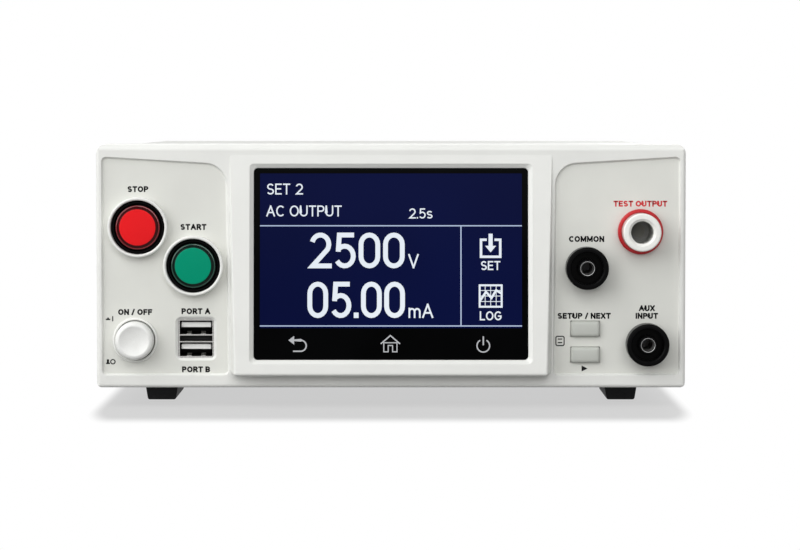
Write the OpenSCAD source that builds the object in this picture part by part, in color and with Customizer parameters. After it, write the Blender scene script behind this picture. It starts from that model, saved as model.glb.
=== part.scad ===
// Bench hipot tester: a half-rack instrument with a moulded front bezel, a sloping display,
// push buttons, output jacks, a sheet-metal case, a rear fan and a mains inlet.
// Millimetres. +X is to the right seen from the front, the front faces -Y, +Z is up.
// The origin lies on the standing surface, in the middle of the part's outline.

/* [Case] */
// Width of the front bezel
case_w = 215; // [200:1:240]
// Height of the front bezel
case_h = 89; // [88:1:110]
// Depth from the fascia to the rear panel's outer face
case_d = 300; // [290:1:360]
// Depth of the front bezel's skirt
bezel_d = 24; // [23.5:0.5:32]
// Wall of the bezel's skirt
bezel_wall = 2.5; // [2:0.1:3]
// Thickness of the bezel's front wall
fascia_t = 3; // [2.6:0.1:4]
// How far the bezel stands out past the metal case
bezel_lip = 1; // [0.8:0.1:1.6]
// Radius of the bezel's upper corners
top_corner_r = 4; // [3:0.5:6]
// Radius of the bezel's lower corners
bottom_corner_r = 2; // [1.5:0.5:4]
// Radius along the bezel's front edges
edge_r = 2.4; // [1:0.2:3]
// Thickness of the cover sheet
cover_t = 1; // [0.8:0.1:1.2]
// Thickness of the chassis sheet
chassis_t = 1.2; // [1:0.1:1.6]
// Thickness of the rear panel
rear_t = 1.5; // [1.2:0.1:2]
// Height of the chassis side flanges
flange_h = 14; // [12:1:20]

/* [Side panels] */
// Depth of the recessed control panels
panel_recess = 1.1; // [0.8:0.1:1.4]
// Width of the sloping wall round a panel
panel_draft = 0.6; // [0.3:0.1:0.9]
// Margin from a panel to the bezel's side
panel_side = 1.9; // [1.5:0.1:3]
// Margin from a panel to the bezel's bottom
panel_low = 4.5; // [3.5:0.1:5]
// Margin from a panel's outer upper corner to the bezel's top
panel_high = 4.6; // [4:0.1:7]
// Drop of a panel's upper edge towards the display
panel_drop = 2.7; // [0:0.1:5]
// Radius of a panel's upper corner beside the display
panel_big_r = 7.5; // [4:0.5:10]
// Radius of a panel's other corners
panel_small_r = 1.2; // [0.6:0.1:2]

/* [Display] */
// Width of the strip beside the display block
strip_w = 48.8; // [48.5:0.1:52]
// How far the display block stands out at its lower edge
block_out = 7; // [5:0.5:9]
// Margin from the display block to the bezel's bottom
block_low = 4.7; // [4:0.1:6]
// Margin from the display block's upper edge to the bezel's top
block_high = 4; // [3.4:0.1:6]
// Draft of the display block's sides over its full reach
block_draft = 1.5; // [0.5:0.1:2.5]
// Radius of the display block's lower corners
block_r = 2; // [1:0.2:4]
// Radius along the display block's front edges
block_edge_r = 1; // [0.5:0.1:1.6]
// Margin from the display block's side to the cover glass
glass_side = 8.7; // [8:0.1:12]
// Height of the cover glass
glass_h = 70; // [68:0.5:71]
// Thickness of the cover glass
glass_t = 1.8; // [1.2:0.1:2]
// Depth of the glass below the block's face
glass_recess = 1.2; // [0.8:0.1:1.5]
// Width of the chamfer round the glass
glass_bevel = 1.5; // [1:0.1:2]
// Corner radius of the glass
glass_r = 1.5; // [0.8:0.1:3]
// Distance from the glass's lower edge to the bezel's bottom
glass_low = 10.6; // [9:0.1:12]
// Width of the display module's frame beside the lit area
frame_side = 5.05; // [4.5:0.05:5.5]
// Height of the display module's frame
lcd_h = 64; // [62:0.5:66]
// Thickness of the display module
lcd_t = 3.2; // [2.6:0.1:3.4]
// Margin from the glass's side to the lit area
view_side = 2.3; // [2:0.1:4]
// Height of the display's lit area
view_h = 56.4; // [54:0.2:57]
// Distance from the lit area's upper edge to the glass's upper edge
view_high = 1.9; // [1:0.1:3]
// Thickness of the ledge that carries the glass
ledge_t = 1.2; // [1:0.1:1.6]
// Thickness of the circuit boards
board_t = 1.6; // [1.2:0.1:2]

/* [Buttons] */
// Distance from the bezel's side to the reset button's centre
reset_in = 15.2; // [14:0.1:16]
// Height of the reset button's centre
reset_z = 58.6; // [57.5:0.1:64]
// Distance from the bezel's side to the test button's centre
test_in = 35.4; // [34.5:0.1:35.6]
// Height of the test button's centre
test_z = 44.6; // [42:0.1:46]
// Diameter of the button caps
cap_d = 16; // [14:0.2:16.4]
// Diameter of a cap's flat front
cap_flat_d = 13.2; // [11:0.2:13.6]
// Outer diameter of the black collars
collar_d = 19.5; // [18.5:0.1:19.9]
// Outer diameter of the moulded guard rims
rim_d = 22; // [21.4:0.1:23]
// Height of the guard rims above the panel
rim_h = 3.6; // [2.5:0.1:4.5]
// Travel of the reset and test buttons
cap_travel = 2.4; // [1.5:0.1:2.6]
// Diameter of the switch bodies behind the panel
switch_d = 22; // [21:0.2:23]
// Length of the switch bodies
switch_l = 16; // [14:0.5:18]
// Distance from the bezel's side to the power button's centre
power_in = 14; // [12.5:0.1:16]
// Height of the power button's centre
power_z = 17.3; // [14:0.1:20]
// Diameter of the power button
power_d = 14; // [12:0.2:15]
// How far the power button stands out of the panel
power_out = 6; // [5:0.1:8]
// Travel of the power button
power_travel = 4; // [3:0.1:4.4]
// Distance from the bezel's side to the keys' centre
key_in = 36.5; // [35:0.1:37]
// Height of the upper key's centre
upper_key_z = 21.5; // [21:0.1:22.5]
// Height of the lower key's centre
lower_key_z = 12; // [11.4:0.1:12.5]
// Width of a key
key_w = 10.2; // [8:0.1:11]
// Height of a key
key_h = 5.3; // [4.5:0.1:5.6]
// How far a key stands out of the panel
key_out = 1.8; // [1.2:0.1:2.5]
// Travel of a key
key_travel = 0.8; // [0.4:0.1:1]

/* [Jacks] */
// Distance from the bezel's side to the high-voltage jack's centre
hv_in = 16.5; // [15:0.1:17]
// Height of the high-voltage jack's centre
hv_z = 57; // [56:0.1:62]
// Outer diameter of the jack's red ring
hv_ring_d = 16.5; // [15.8:0.1:18]
// Height of the red ring above the panel
hv_ring_h = 2.5; // [1.5:0.1:4]
// Outer diameter of the jack's insulator
hv_d = 13.8; // [12.5:0.1:14.6]
// Bore of the high-voltage jack
hv_bore_d = 8.2; // [7.5:0.1:8.8]
// How far the insulator stands out of the panel
hv_out = 11; // [9:0.1:14]
// Depth of the bore behind the panel's face
hv_depth = 11; // [8:0.1:12]
// Distance from the bezel's side to the return jack's centre
return_in = 36.1; // [35:0.1:37]
// Height of the return jack's centre
return_z = 43.8; // [42:0.1:45]
// Distance from the bezel's side to the continuity jack's centre
cont_in = 14; // [12.5:0.1:16]
// Height of the continuity jack's centre
cont_z = 15.9; // [14:0.1:19]
// Outer diameter of a test-lead jack
jack_d = 15.5; // [14.5:0.1:16]
// How far a test-lead jack stands out of the panel
jack_out = 8; // [6:0.1:10]
// Diameter of the jack's open throat round its core
throat_d = 11.6; // [11:0.1:12.4]
// Diameter of the jack's insulating core
core_d = 7; // [6.6:0.1:7.4]
// Bore of a test-lead socket
socket_d = 4; // [3.9:0.1:4.2]
// Outer diameter of the metal socket
socket_od = 5.4; // [5:0.1:5.8]
// Diameter of a jack's neck through the panel
neck_d = 11; // [10:0.1:12]
// Distance from the bezel's side to the USB socket's centre
usb_in = 36.2; // [35.5:0.1:37]
// Height of the USB socket's centre
usb_z = 17.9; // [16:0.1:20]
// Width of a USB port's mouth
usb_port_w = 12; // [11.8:0.1:12.5]
// Height of a USB port's mouth
usb_port_h = 5.1; // [5:0.1:5.4]
// Wall between the two USB ports
usb_web = 2.9; // [2:0.1:4]

/* [Rear] */
// Distance from the bezel's side to the fan's centre
fan_in = 45.5; // [38:0.5:49]
// Height of the fan's centre
fan_z = 45; // [40:1:50]
// Side of the square fan frame
fan_w = 60; // [50:1:60]
// Depth of the fan frame
fan_d = 15; // [15:1:25]
// Diameter of the fan's air passage
fan_bore_d = 57; // [46:1:57.5]
// Number of fan blades
fan_blades = 7; // [5:1:9]
// Distance from the bezel's side to the mains inlet's centre
inlet_in = 25.5; // [22:0.5:27.5]
// Height of the mains inlet's centre
inlet_z = 40; // [36:1:46]
// Width of the inlet's body
inlet_w = 27; // [26.6:0.1:28]
// Height of the inlet's body
inlet_h = 46; // [45:0.5:48]
// Depth of the inlet's body behind the rear panel
inlet_d = 27; // [26:0.5:32]
// Travel of the fuse drawer
drawer_travel = 20; // [10:1:21]
// Distance from the bezel's side to the signal ports' centre
port_in = 77.5; // [74.5:0.5:79.5]
// Height of the wide signal port's centre
signal_z = 66; // [62:0.5:70]
// Height of the narrow signal port's centre
serial_z = 44; // [40:0.5:48]
// Height of the square data port's centre
data_z = 22; // [16:0.5:26]
// Distance from the bezel's side to the ground terminal
ground_in = 49.5; // [48:0.5:50.5]
// Height of the ground terminal
ground_z = 20; // [14:0.5:30]
// Diameter of the ground terminal's stud
stud_d = 4; // [4:0.5:5]
// How far the ground stud stands out of the rear panel
stud_out = 14; // [12:0.5:18]

/* [Feet] */
// Height of the feet below the bezel
foot_h = 7; // [6.5:0.1:10]
// Distance from the bezel's side to a foot's centre
foot_in = 21.5; // [20:0.5:30]
// Width of a foot at its top
foot_top_w = 13; // [12.6:0.2:16]
// Width of a foot where it stands
foot_low_w = 10.4; // [10:0.2:12]
// Length of a foot
foot_l = 42; // [40:1:50]
// Distance from the fascia to the front feet
foot_front = 30; // [26:1:50]
// Distance from the rear panel to the rear feet
foot_rear = 24; // [10:1:40]
// Width of a tilt leg
leg_w = 6; // [5:0.1:6.2]
// Thickness of a tilt leg
leg_t = 3.6; // [3:0.1:4]

/* [Inside] */
// Width of the transformer's core
core_w = 76; // [66:1:80]
// Height of the transformer's core
core_h = 64; // [60:1:68]
// Stack depth of the transformer's core
core_stack = 38; // [30:1:45]
// Height of the board standoffs
standoff_h = 8; // [6:0.5:12]
// Height of the heat sink
sink_h = 38; // [25:1:45]
// Height of the power supply module
supply_h = 40; // [30:1:50]

/* [Hidden] */
$fn = 64;
// Gap between pieces that are fixed together, and between pieces that move
fit = 0.1;
run = 0.3;
// Radial play of a pin or shaft that turns in a hole
play = 0.05;
// How far a cut runs past the face it opens
past = 1;

// Overall places: the fascia frame has y = 0 on the fascia and z = 0 under the bezel
half_w = case_w / 2;
front_reach = max(block_out, max(hv_out, jack_out, power_out) - panel_recess);
face_y = (front_reach - case_d - stud_out) / 2;
side_edge_r = edge_r / 2;

// Display block
block_w = case_w - 2 * strip_w;
glass_w = block_w - 2 * glass_side;
view_w = glass_w - 2 * view_side;
lcd_w = view_w + 2 * frame_side;
block_top = case_h - block_high;
block_rise = block_top - block_low - block_edge_r;
block_run = block_out - block_edge_r;
block_tilt = acos(-block_edge_r / norm([block_rise, block_run])) - atan2(block_rise, block_run);
glass_z = -(block_top - glass_low) / cos(block_tilt) + glass_h / 2;
view_z = glass_z + glass_h / 2 - view_high - view_h / 2;
ledge_y = glass_recess + glass_t;
lcd_y = ledge_y + ledge_t;
lcd_board_y = lcd_y + lcd_t;
carrier_d = lcd_board_y + board_t + 2 * fit;
panel_gap = 0.4;
panel_lean = 0.7;

// Front controls, measured from the middle
reset_x = reset_in - half_w;
test_x = test_in - half_w;
power_x = power_in - half_w;
usb_x = usb_in - half_w;
hv_x = half_w - hv_in;
return_x = half_w - return_in;
cont_x = half_w - cont_in;
key_x = half_w - key_in;

// Push buttons
rim_front = panel_recess - rim_h;
collar_sink = 2.2;
collar_front = rim_front + collar_sink;
cap_sink = 0.2;
cap_front = rim_front + cap_sink;
collar_bevel = 0.5;
cap_bevel = 1;
cap_back = fascia_t - cap_travel - run;
stem_d = 7;
stem_end = fascia_t + switch_l / 2;
tab_l = min(4, bezel_d - fascia_t - switch_l - run);
power_switch_l = 12;
power_switch_y = bezel_d - power_switch_l;
power_back = power_switch_y - power_travel - 2 * run;
power_stem_d = 5;
power_stem_end = power_switch_y + power_switch_l / 2;
power_rim_d = power_d + 2.6;
power_rim_h = 0.8;
key_bevel = 0.5;
key_flange = 1.2;
key_flange_t = 1;
tact_h = 3.5;
key_board_y = fascia_t + run + key_flange_t + 1.1 + key_travel + tact_h + run;
key_boss_d = 4;
key_board_h = upper_key_z - lower_key_z + key_h + 2 * key_flange + 2 * key_boss_d + 2 * run;
key_mid_z = (upper_key_z + lower_key_z) / 2;
key_board_w = key_w + 2 * key_flange + 3;

// Jacks
hv_front = panel_recess - hv_out;
hv_floor = panel_recess + hv_depth;
hv_back = hv_floor + 4;
hv_contact_d = 5;
hv_nut_af = hv_d + 5.2;
hv_nut_t = 5;
jack_front = panel_recess - jack_out;
throat_floor = panel_recess - 1.5;
core_front = jack_front + 0.6;
jack_back = fascia_t + 11;
jack_nut_af = neck_d + 5;
jack_nut_t = 4;
socket_floor = jack_back - 1;
usb_wall = 0.4;
usb_w = usb_port_w + 2 * usb_wall;
usb_h = 2 * usb_port_h + usb_web + 2 * usb_wall;
usb_y = panel_recess + 0.9;
usb_r = 1.2;
usb_l = 17;
usb_bevel = 1;
usb_slot = 4;
usb_back = 1;
tongue_t = 1.8;
tongue_sink = 1.4;
tongue_high = 0.7;
tongue_side = 0.6;

// Sheet-metal case
floor_z = bezel_lip;
cover_w = case_w - 2 * bezel_lip;
inner_w = cover_w - 2 * cover_t - 2 * fit;
deck_z = floor_z + chassis_t;
rear_y = case_d - rear_t;
vent_n = 14;
vent_w = 3;
vent_h = 26;
vent_pitch = 7;
vent_y = case_d - 46;
vent_z = case_h / 2 + 4;
screw_d = 3;
screw_head_d = 6;
screw_z = floor_z + flange_h / 2;
screw_end = 20;
screw_tail = 2;
screw_head_edge = 0.4;
cross_w = 3.4;
cross_slot_w = 0.9;
cross_deep = 0.6;
screw_ys = [bezel_d + screw_end, (bezel_d + case_d) / 2, case_d - screw_end];

// Rear panel, measured from the middle
fan_x = half_w - fan_in;
inlet_x = half_w - inlet_in;
port_x = half_w - port_in;
ground_x = half_w - ground_in;
fan_y = rear_y - fan_d;
fan_hub_d = 25;
fan_plate_t = 3;
fan_screw_in = 5;
fan_pitch = fan_w - 2 * fan_screw_in;
fan_strut_w = 4;
fan_blade_t = 1.2;
fan_blade_angle = 40;
fan_blade_root = 2;
fan_rotor_back = 1;
fan_shaft_d = 3;
fan_screw_d = 4;
fan_screw_head_d = fan_screw_d + 3;
fan_screw_head_t = 2;
fan_screw_tail = 8;
guard_wire_d = 1.6;
guard_eye_d = 8;
guard_end = 3;
guard_rings = [0.42, 0.68, 0.94];
flange_rim = 2.2;
inlet_flange_t = 3;
inlet_mouth_w = 24.4;
inlet_mouth_h = 17;
inlet_mouth_depth = 18;
inlet_y = case_d + inlet_flange_t;
inlet_mouth_y = inlet_y - inlet_mouth_depth;
inlet_mouth_cut = 5;
inlet_flange_r = 2;
inlet_mouth_z = inlet_z - 10;
pin_l = 11;
pin_w = 4;
pin_t = 2;
pin_pitch = 7;
pin_high = 2;
drawer_w = 22;
drawer_h = 13;
drawer_stay = 3;
drawer_l = drawer_travel + drawer_stay;
drawer_z = inlet_z + 13;
fuse_d = 5.2;
fuse_l = 20;
fuse_room = 0.5;
fuse_back = 1;
fuse_y = inlet_y - drawer_l / 2 - fuse_back;
drawer_grip_side = 4;
drawer_grip_h = 3;
drawer_grip_out = 1.5;
signal_w = 39.2;
serial_w = 30.8;
port_h = 12.5;
port_flange_t = 1;
port_out = 6;
port_ear = 14.4;
port_edge = 2;
port_lean = 1.4;
port_r = 1.5;
port_flange_r = 1;
port_wall = 0.6;
port_behind = 6;
post_af = 5;
post_bore_d = 2.6;
signal_contacts = 13;
serial_contacts = 9;
contact_d = 1.1;
contact_pitch = 2.76;
contact_row = 2.84;
data_w = 12;
data_h = 11;
data_out = 1.5;
data_behind = 12;
data_wall = 1.5;
data_deep = 7;
data_block_w = 5.6;
data_block_h = 3.2;
data_block_sink = 1;
stud_neck_d = stud_d + 1;
stud_head_d = stud_neck_d + 4;
stud_head_t = 2.5;
ground_nut_af = stud_neck_d + 3;
ground_nut_t = 3.2;

// Feet
foot_x = half_w - foot_in;
leg_pin_d = 3;
leg_floor = 0.5;
leg_end = 6;
leg_pin_z = -foot_h + leg_floor + leg_t / 2;
leg_pin_y = foot_front + leg_end;
leg_l = foot_l - 2 * leg_end;
leg_ear = 1.8;
foot_low_r = 0.8;
foot_top_r = 0.3;

// Inside
limb = core_w / 6;
core_side = 8;
core_x = half_w - bezel_wall - core_w / 2 - core_side;
core_space = 24;
core_y = bezel_d + chassis_t + core_space;
coil_gap = 2;
supply_w = 55;
supply_l = 120;
supply_side = 6;
supply_x = -half_w + bezel_wall + supply_side;
supply_hole_d = 6;
supply_hole_depth = 1;
supply_hole_pitch = [18, 13];
supply_hole_in = [10, 14];
board_gap = 6;
board_side = 9;
board_back = 14;
board_l = 139.5;
board_x0 = supply_x + supply_w + board_gap;
board_x1 = half_w - board_side;
board_y1 = fan_y - board_back;
board_y0 = board_y1 - board_l;
supply_ahead = 10;
supply_y = board_y0 - supply_ahead;
standoff_d = 6;
standoff_in = 5;
board_z = deck_z + standoff_h;
sink_w = 48;
sink_l = 50;
sink_fins = 8;
sink_base_t = 5;
sink_fin_t = 2;
sink_gap = 4;
can_d = 18;
can_h = 30;
can_pitch = 22;
can_in = 16;

// Arc and rounded outlines
function unit(v) = v / norm(v);
function arc(centre, r, from, to, n = 8) =
    [for (i = [0:n]) centre + r * [cos(from + (to - from) * i / n), sin(from + (to - from) * i / n)]];
function turn(angle) = angle > 180 ? angle - 360 : angle < -180 ? angle + 360 : angle;
function fillet(a, b, c, r, n) =
    let (u = unit(a - b), v = unit(c - b), half = acos(u * v) / 2)
    let (centre = b + unit(u + v) * r / sin(half), reach = r / tan(half))
    let (s = b + u * reach - centre, e = b + v * reach - centre)
    let (from = atan2(s.y, s.x), sweep = turn(atan2(e.y, e.x) - from))
    arc(centre, r, from, from + sweep, n);
function rounded(points, radii, n = 8) =
    let (count = len(points))
    [for (i = [0:count - 1])
        each fillet(points[(i + count - 1) % count], points[i], points[(i + 1) % count], radii[i], n)];

// Frames and basic shapes: outlines drawn in x and z, bodies run along y
module place() translate([0, face_y, foot_h]) children();
module at(x, z) translate([x, 0, z]) children();
module both_sides() {
    children();
    mirror([1, 0, 0]) children();
}
module along_y(y0, y1) translate([0, y1, 0]) rotate([90, 0, 0]) linear_extrude(y1 - y0) children();
module along_x(x0, x1) translate([x0, 0, 0]) rotate([90, 0, 90]) linear_extrude(x1 - x0) children();
module lathe() rotate([-90, 0, 0]) rotate_extrude() children();
module rod(d, y0, y1) translate([0, y0, 0]) rotate([-90, 0, 0]) cylinder(d = d, h = y1 - y0);
module slab(w, h, y0, y1) translate([-w / 2, y0, -h / 2]) cube([w, y1 - y0, h]);
module tube(od, id, y0, y1) difference() {
    rod(od, y0, y1);
    rod(id, y0 - past, y1 + past);
}
module hex_nut(af, hole, y0, y1) difference() {
    translate([0, y0, 0]) rotate([-90, 0, 0]) cylinder(d = af / cos(30), h = y1 - y0, $fn = 6);
    rod(hole, y0 - past, y1 + past);
}
module rounded_rect(w, h, r) {
    square([w - 2 * r, h], center = true);
    square([w, h - 2 * r], center = true);
    for (sx = [-1, 1], sz = [-1, 1])
        translate([sx * (w / 2 - r), sz * (h / 2 - r)]) circle(r);
}

// Front outline of the case, drawn in by an inset
module case_outline(inset) {
    w = case_w - 2 * inset;
    h = case_h - 2 * inset;
    rt = top_corner_r - inset;
    rb = max(bottom_corner_r - inset, 0.5);
    translate([-w / 2, inset + rb]) square([w, h - rb - rt]);
    translate([-w / 2 + rb, inset]) square([w - 2 * rb, h / 2]);
    translate([-w / 2 + rt, inset + h / 2]) square([w - 2 * rt, h / 2]);
    for (side = [-1, 1]) {
        translate([side * (w / 2 - rt), inset + h - rt]) circle(rt);
        translate([side * (w / 2 - rb), inset + rb]) circle(rb);
    }
}

// Bezel skirt with rounded front edges, hollow behind its front wall
module bezel_shell() difference() {
    intersection() {
        along_y(0, bezel_d) case_outline(0);
        along_x(-half_w, half_w) bezel_side();
        linear_extrude(case_h) bezel_plan();
    }
    translate([-half_w + bezel_wall, fascia_t, bezel_wall])
        cube([case_w - 2 * bezel_wall, bezel_d, case_h - 2 * bezel_wall]);
}
// Side view of the skirt, in y and z
module bezel_side() {
    translate([edge_r, side_edge_r]) square([bezel_d - edge_r, case_h - side_edge_r]);
    translate([0, side_edge_r]) square([bezel_d, case_h - edge_r - side_edge_r]);
    translate([side_edge_r, 0]) square([bezel_d - side_edge_r, case_h / 2]);
    translate([edge_r, case_h - edge_r]) circle(edge_r);
    translate([side_edge_r, side_edge_r]) circle(side_edge_r);
}
// Plan view of the skirt, in x and y
module bezel_plan() {
    translate([-half_w, side_edge_r]) square([case_w, bezel_d - side_edge_r]);
    translate([-half_w + side_edge_r, 0]) square([case_w - 2 * side_edge_r, bezel_d]);
    for (side = [-1, 1]) translate([side * (half_w - side_edge_r), side_edge_r]) circle(side_edge_r);
}
// Sloping display block with drafted sides and rounded front edges, and the carrier behind it
module display_block() {
    hull() {
        along_y(0, fascia_t) polygon(rounded(
            [[-block_w / 2, block_low], [block_w / 2, block_low],
                [block_w / 2, block_top], [-block_w / 2, block_top]],
            [block_r, block_r, 0.2, 0.2]));
        both_sides() translate([block_w / 2 - block_draft - block_edge_r,
            -block_out + block_edge_r, block_low + block_edge_r]) sphere(block_edge_r, $fn = 32);
    }
    translate([-block_w / 2, fascia_t / 2, bezel_wall / 2])
        cube([block_w, carrier_d - fascia_t / 2, case_h - bezel_wall]);
}
// Frame of the sloping face: z runs up the face from its upper edge, y runs into the block
module on_block() translate([0, 0, block_top]) rotate([-block_tilt, 0, 0]) children();
// Seat of the glass with its chamfer, the window in the ledge, and the pocket of the display module
module display_cuts() on_block() {
    translate([0, 0, glass_z]) {
        hull() {
            along_y(-past, 0) rounded_rect(glass_w + 2 * glass_bevel, glass_h + 2 * glass_bevel, glass_r);
            along_y(glass_recess - fit, glass_recess) rounded_rect(glass_w, glass_h, glass_r);
        }
        along_y(0, ledge_y) rounded_rect(glass_w, glass_h, glass_r);
    }
    translate([0, 0, view_z]) {
        slab(view_w + 1, view_h + 1, 0, lcd_y + past);
        slab(lcd_w + 2 * fit, lcd_h + 2 * fit, lcd_y, carrier_d + block_out + past);
    }
}
// Recess of the right-hand control panel, with walls that slope in to its floor
function panel_outline(inset) =
    let (inner = block_w / 2 + panel_gap + inset, outer = half_w - panel_side - inset)
    let (low = panel_low + inset, high = case_h - panel_high - inset)
    let (small_r = panel_small_r + panel_draft - inset, big_r = panel_big_r + panel_draft - inset)
    rounded([[inner, low], [outer, low], [outer, high], [inner + panel_lean, high - panel_drop]],
        [small_r, small_r, small_r, big_r]);
module panel_recess_cut() hull() {
    along_y(-past, 0) polygon(panel_outline(0));
    along_y(panel_recess - fit, panel_recess) polygon(panel_outline(panel_draft));
}
// Raised ring with a rounded lip
module guard_rim(od, id, h) {
    lip = (od - id) / 4;
    lathe() {
        translate([id / 2, panel_recess - h + lip]) square([2 * lip, h - lip + fascia_t / 4]);
        translate([id / 2 + lip, panel_recess - h + lip]) circle(lip);
    }
}
module key_bosses() for (z = [-1, 1])
    at(key_x, key_mid_z + z * (key_board_h - key_boss_d) / 2) rod(key_boss_d, fascia_t / 2, key_board_y);
module usb_cut() at(usb_x, usb_z) {
    w = usb_w + 2 * fit;
    h = usb_h + 2 * fit;
    slab(w, h, usb_y - fit, fascia_t + past);
    hull() {
        along_y(-past, panel_recess) rounded_rect(w + 2 * usb_bevel, h + 2 * usb_bevel, usb_r + usb_bevel);
        along_y(usb_y - fit, usb_y) rounded_rect(w, h, usb_r);
    }
}

module front_bezel() place() color([0.88, 0.89, 0.87]) difference() {
    union() {
        difference() {
            bezel_shell();
            both_sides() panel_recess_cut();
        }
        display_block();
        at(reset_x, reset_z) guard_rim(rim_d, collar_d + 2 * fit, rim_h);
        at(test_x, test_z) guard_rim(rim_d, collar_d + 2 * fit, rim_h);
        at(power_x, power_z) guard_rim(power_rim_d, power_d + 2 * run, power_rim_h);
        key_bosses();
    }
    display_cuts();
    at(reset_x, reset_z) rod(collar_d + 2 * fit, -past, fascia_t + past);
    at(test_x, test_z) rod(collar_d + 2 * fit, -past, fascia_t + past);
    at(power_x, power_z) rod(power_d + 2 * run, -past, fascia_t + past);
    at(hv_x, hv_z) rod(hv_d + 2 * fit, -past, fascia_t + past);
    at(return_x, return_z) rod(neck_d + 2 * fit, -past, fascia_t + past);
    at(cont_x, cont_z) rod(neck_d + 2 * fit, -past, fascia_t + past);
    for (z = [upper_key_z, lower_key_z])
        at(key_x, z) slab(key_w + 2 * run, key_h + 2 * run, -past, fascia_t + past);
    usb_cut();
}

module display_glass() place() color([0.05, 0.06, 0.08]) on_block() translate([0, 0, glass_z])
    along_y(glass_recess, ledge_y) rounded_rect(glass_w - 2 * fit, glass_h - 2 * fit, glass_r);
module lcd_module() place() color([0.6, 0.62, 0.65]) on_block() translate([0, 0, view_z])
    slab(lcd_w, lcd_h, lcd_y, lcd_board_y);
module display_board() place() color([0.1, 0.35, 0.2]) on_block() translate([0, 0, view_z])
    slab(lcd_w, lcd_h, lcd_board_y, lcd_board_y + board_t);

// Round push button: collar in the panel, cap on its stem, switch behind
module button_collar() lathe() polygon([
    [collar_d / 2, fascia_t], [collar_d / 2, collar_front + 0.4], [collar_d / 2 - 0.4, collar_front],
    [cap_d / 2 + run + collar_bevel, collar_front], [cap_d / 2 + run, collar_front + collar_bevel],
    [cap_d / 2 + run, fascia_t]]);
module button_cap() lathe() polygon([
    [0, cap_front], [cap_flat_d / 2, cap_front], [cap_d / 2, cap_front + cap_bevel], [cap_d / 2, cap_back],
    [stem_d / 2, cap_back], [stem_d / 2, stem_end], [0, stem_end]]);
module button_switch() {
    difference() {
        rod(switch_d, fascia_t, fascia_t + switch_l);
        rod(stem_d + 2 * run, fascia_t - past, stem_end + cap_travel + run);
    }
    for (x = [-1, 0, 1])
        translate([x * switch_d / 4, 0, 0]) slab(0.6, 2.8, fascia_t + switch_l, fascia_t + switch_l + tab_l);
}
module reset_collar() place() color([0.08, 0.08, 0.08]) at(reset_x, reset_z) button_collar();
module reset_cap() place() color([0.88, 0.1, 0.12]) at(reset_x, reset_z) button_cap();
module reset_switch() place() color([0.15, 0.15, 0.16]) at(reset_x, reset_z) button_switch();
module test_collar() place() color([0.08, 0.08, 0.08]) at(test_x, test_z) button_collar();
module test_cap() place() color([0.0, 0.54, 0.4]) at(test_x, test_z) button_cap();
module test_switch() place() color([0.15, 0.15, 0.16]) at(test_x, test_z) button_switch();

// Power button: a dished cap with a rounded edge on the stem of a latching switch
module power_cap() place() color([0.92, 0.92, 0.9]) at(power_x, power_z) {
    front = panel_recess - power_out;
    lip = 1.6;
    dish = 1;
    rim = power_d / 2 - lip;
    bow = (rim * rim + dish * dish) / (2 * dish);
    sweep = asin(rim / bow);
    lathe() polygon(concat(
        arc([0, front + dish - bow], bow, 90, 90 - sweep),
        arc([rim, front + lip], lip, -90, 0),
        [[power_d / 2, power_back], [power_stem_d / 2, power_back],
            [power_stem_d / 2, power_stem_end], [0, power_stem_end]]));
}
module power_switch() place() color([0.12, 0.12, 0.13]) at(power_x, power_z) difference() {
    slab(18, 16, power_switch_y, bezel_d);
    rod(power_stem_d + 2 * run, power_switch_y - past, power_stem_end + power_travel + run);
}

// Rectangular key with a flange that keeps it behind the panel, and the board under both keys
module panel_key() {
    hull() {
        slab(key_w - 2 * key_bevel, key_h - 2 * key_bevel, panel_recess - key_out, fascia_t);
        slab(key_w, key_h, panel_recess - key_out + key_bevel, fascia_t + run);
    }
    slab(key_w + 2 * key_flange, key_h + 2 * key_flange, fascia_t + run, fascia_t + run + key_flange_t);
    rod(3, fascia_t + run, key_board_y - tact_h - key_travel - run);
}
module upper_key() place() color([0.85, 0.86, 0.86]) at(key_x, upper_key_z) panel_key();
module lower_key() place() color([0.85, 0.86, 0.86]) at(key_x, lower_key_z) panel_key();
module key_board() place() color([0.1, 0.35, 0.2]) {
    at(key_x, key_mid_z) slab(key_board_w, key_board_h, key_board_y, key_board_y + board_t);
    for (z = [upper_key_z, lower_key_z]) at(key_x, z) slab(6, 6, key_board_y - tact_h, key_board_y);
}

// High-voltage jack: red ring, bored insulator with a flared lip, contact at its floor, nut behind
module hv_ring() place() color([0.72, 0.16, 0.17]) at(hv_x, hv_z) lathe() polygon([
    [hv_d / 2 + fit, panel_recess], [hv_d / 2 + fit, panel_recess - hv_ring_h],
    [hv_ring_d / 2 - 0.5, panel_recess - hv_ring_h], [hv_ring_d / 2, panel_recess - hv_ring_h + 0.5],
    [hv_ring_d / 2, panel_recess]]);
module hv_insulator() place() color([0.95, 0.95, 0.92]) at(hv_x, hv_z) {
    flare = 0.9;
    lip = 0.6;
    lathe() polygon(concat(
        [[hv_bore_d / 2, hv_floor], [hv_bore_d / 2, hv_front + flare], [hv_bore_d / 2 + flare, hv_front]],
        arc([hv_d / 2 - lip, hv_front + lip], lip, -90, 0),
        [[hv_d / 2, hv_back], [hv_contact_d / 2 + fit, hv_back], [hv_contact_d / 2 + fit, hv_floor]]));
}
module hv_contact() place() color([0.8, 0.65, 0.3]) at(hv_x, hv_z) {
    rod(hv_contact_d, hv_floor, hv_back);
    rod(hv_contact_d / 2, hv_back, bezel_d - run);
}
module hv_nut() place() color([0.9, 0.9, 0.88]) at(hv_x, hv_z)
    hex_nut(hv_nut_af, hv_d + 2 * fit, fascia_t, fascia_t + hv_nut_t);

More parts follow.
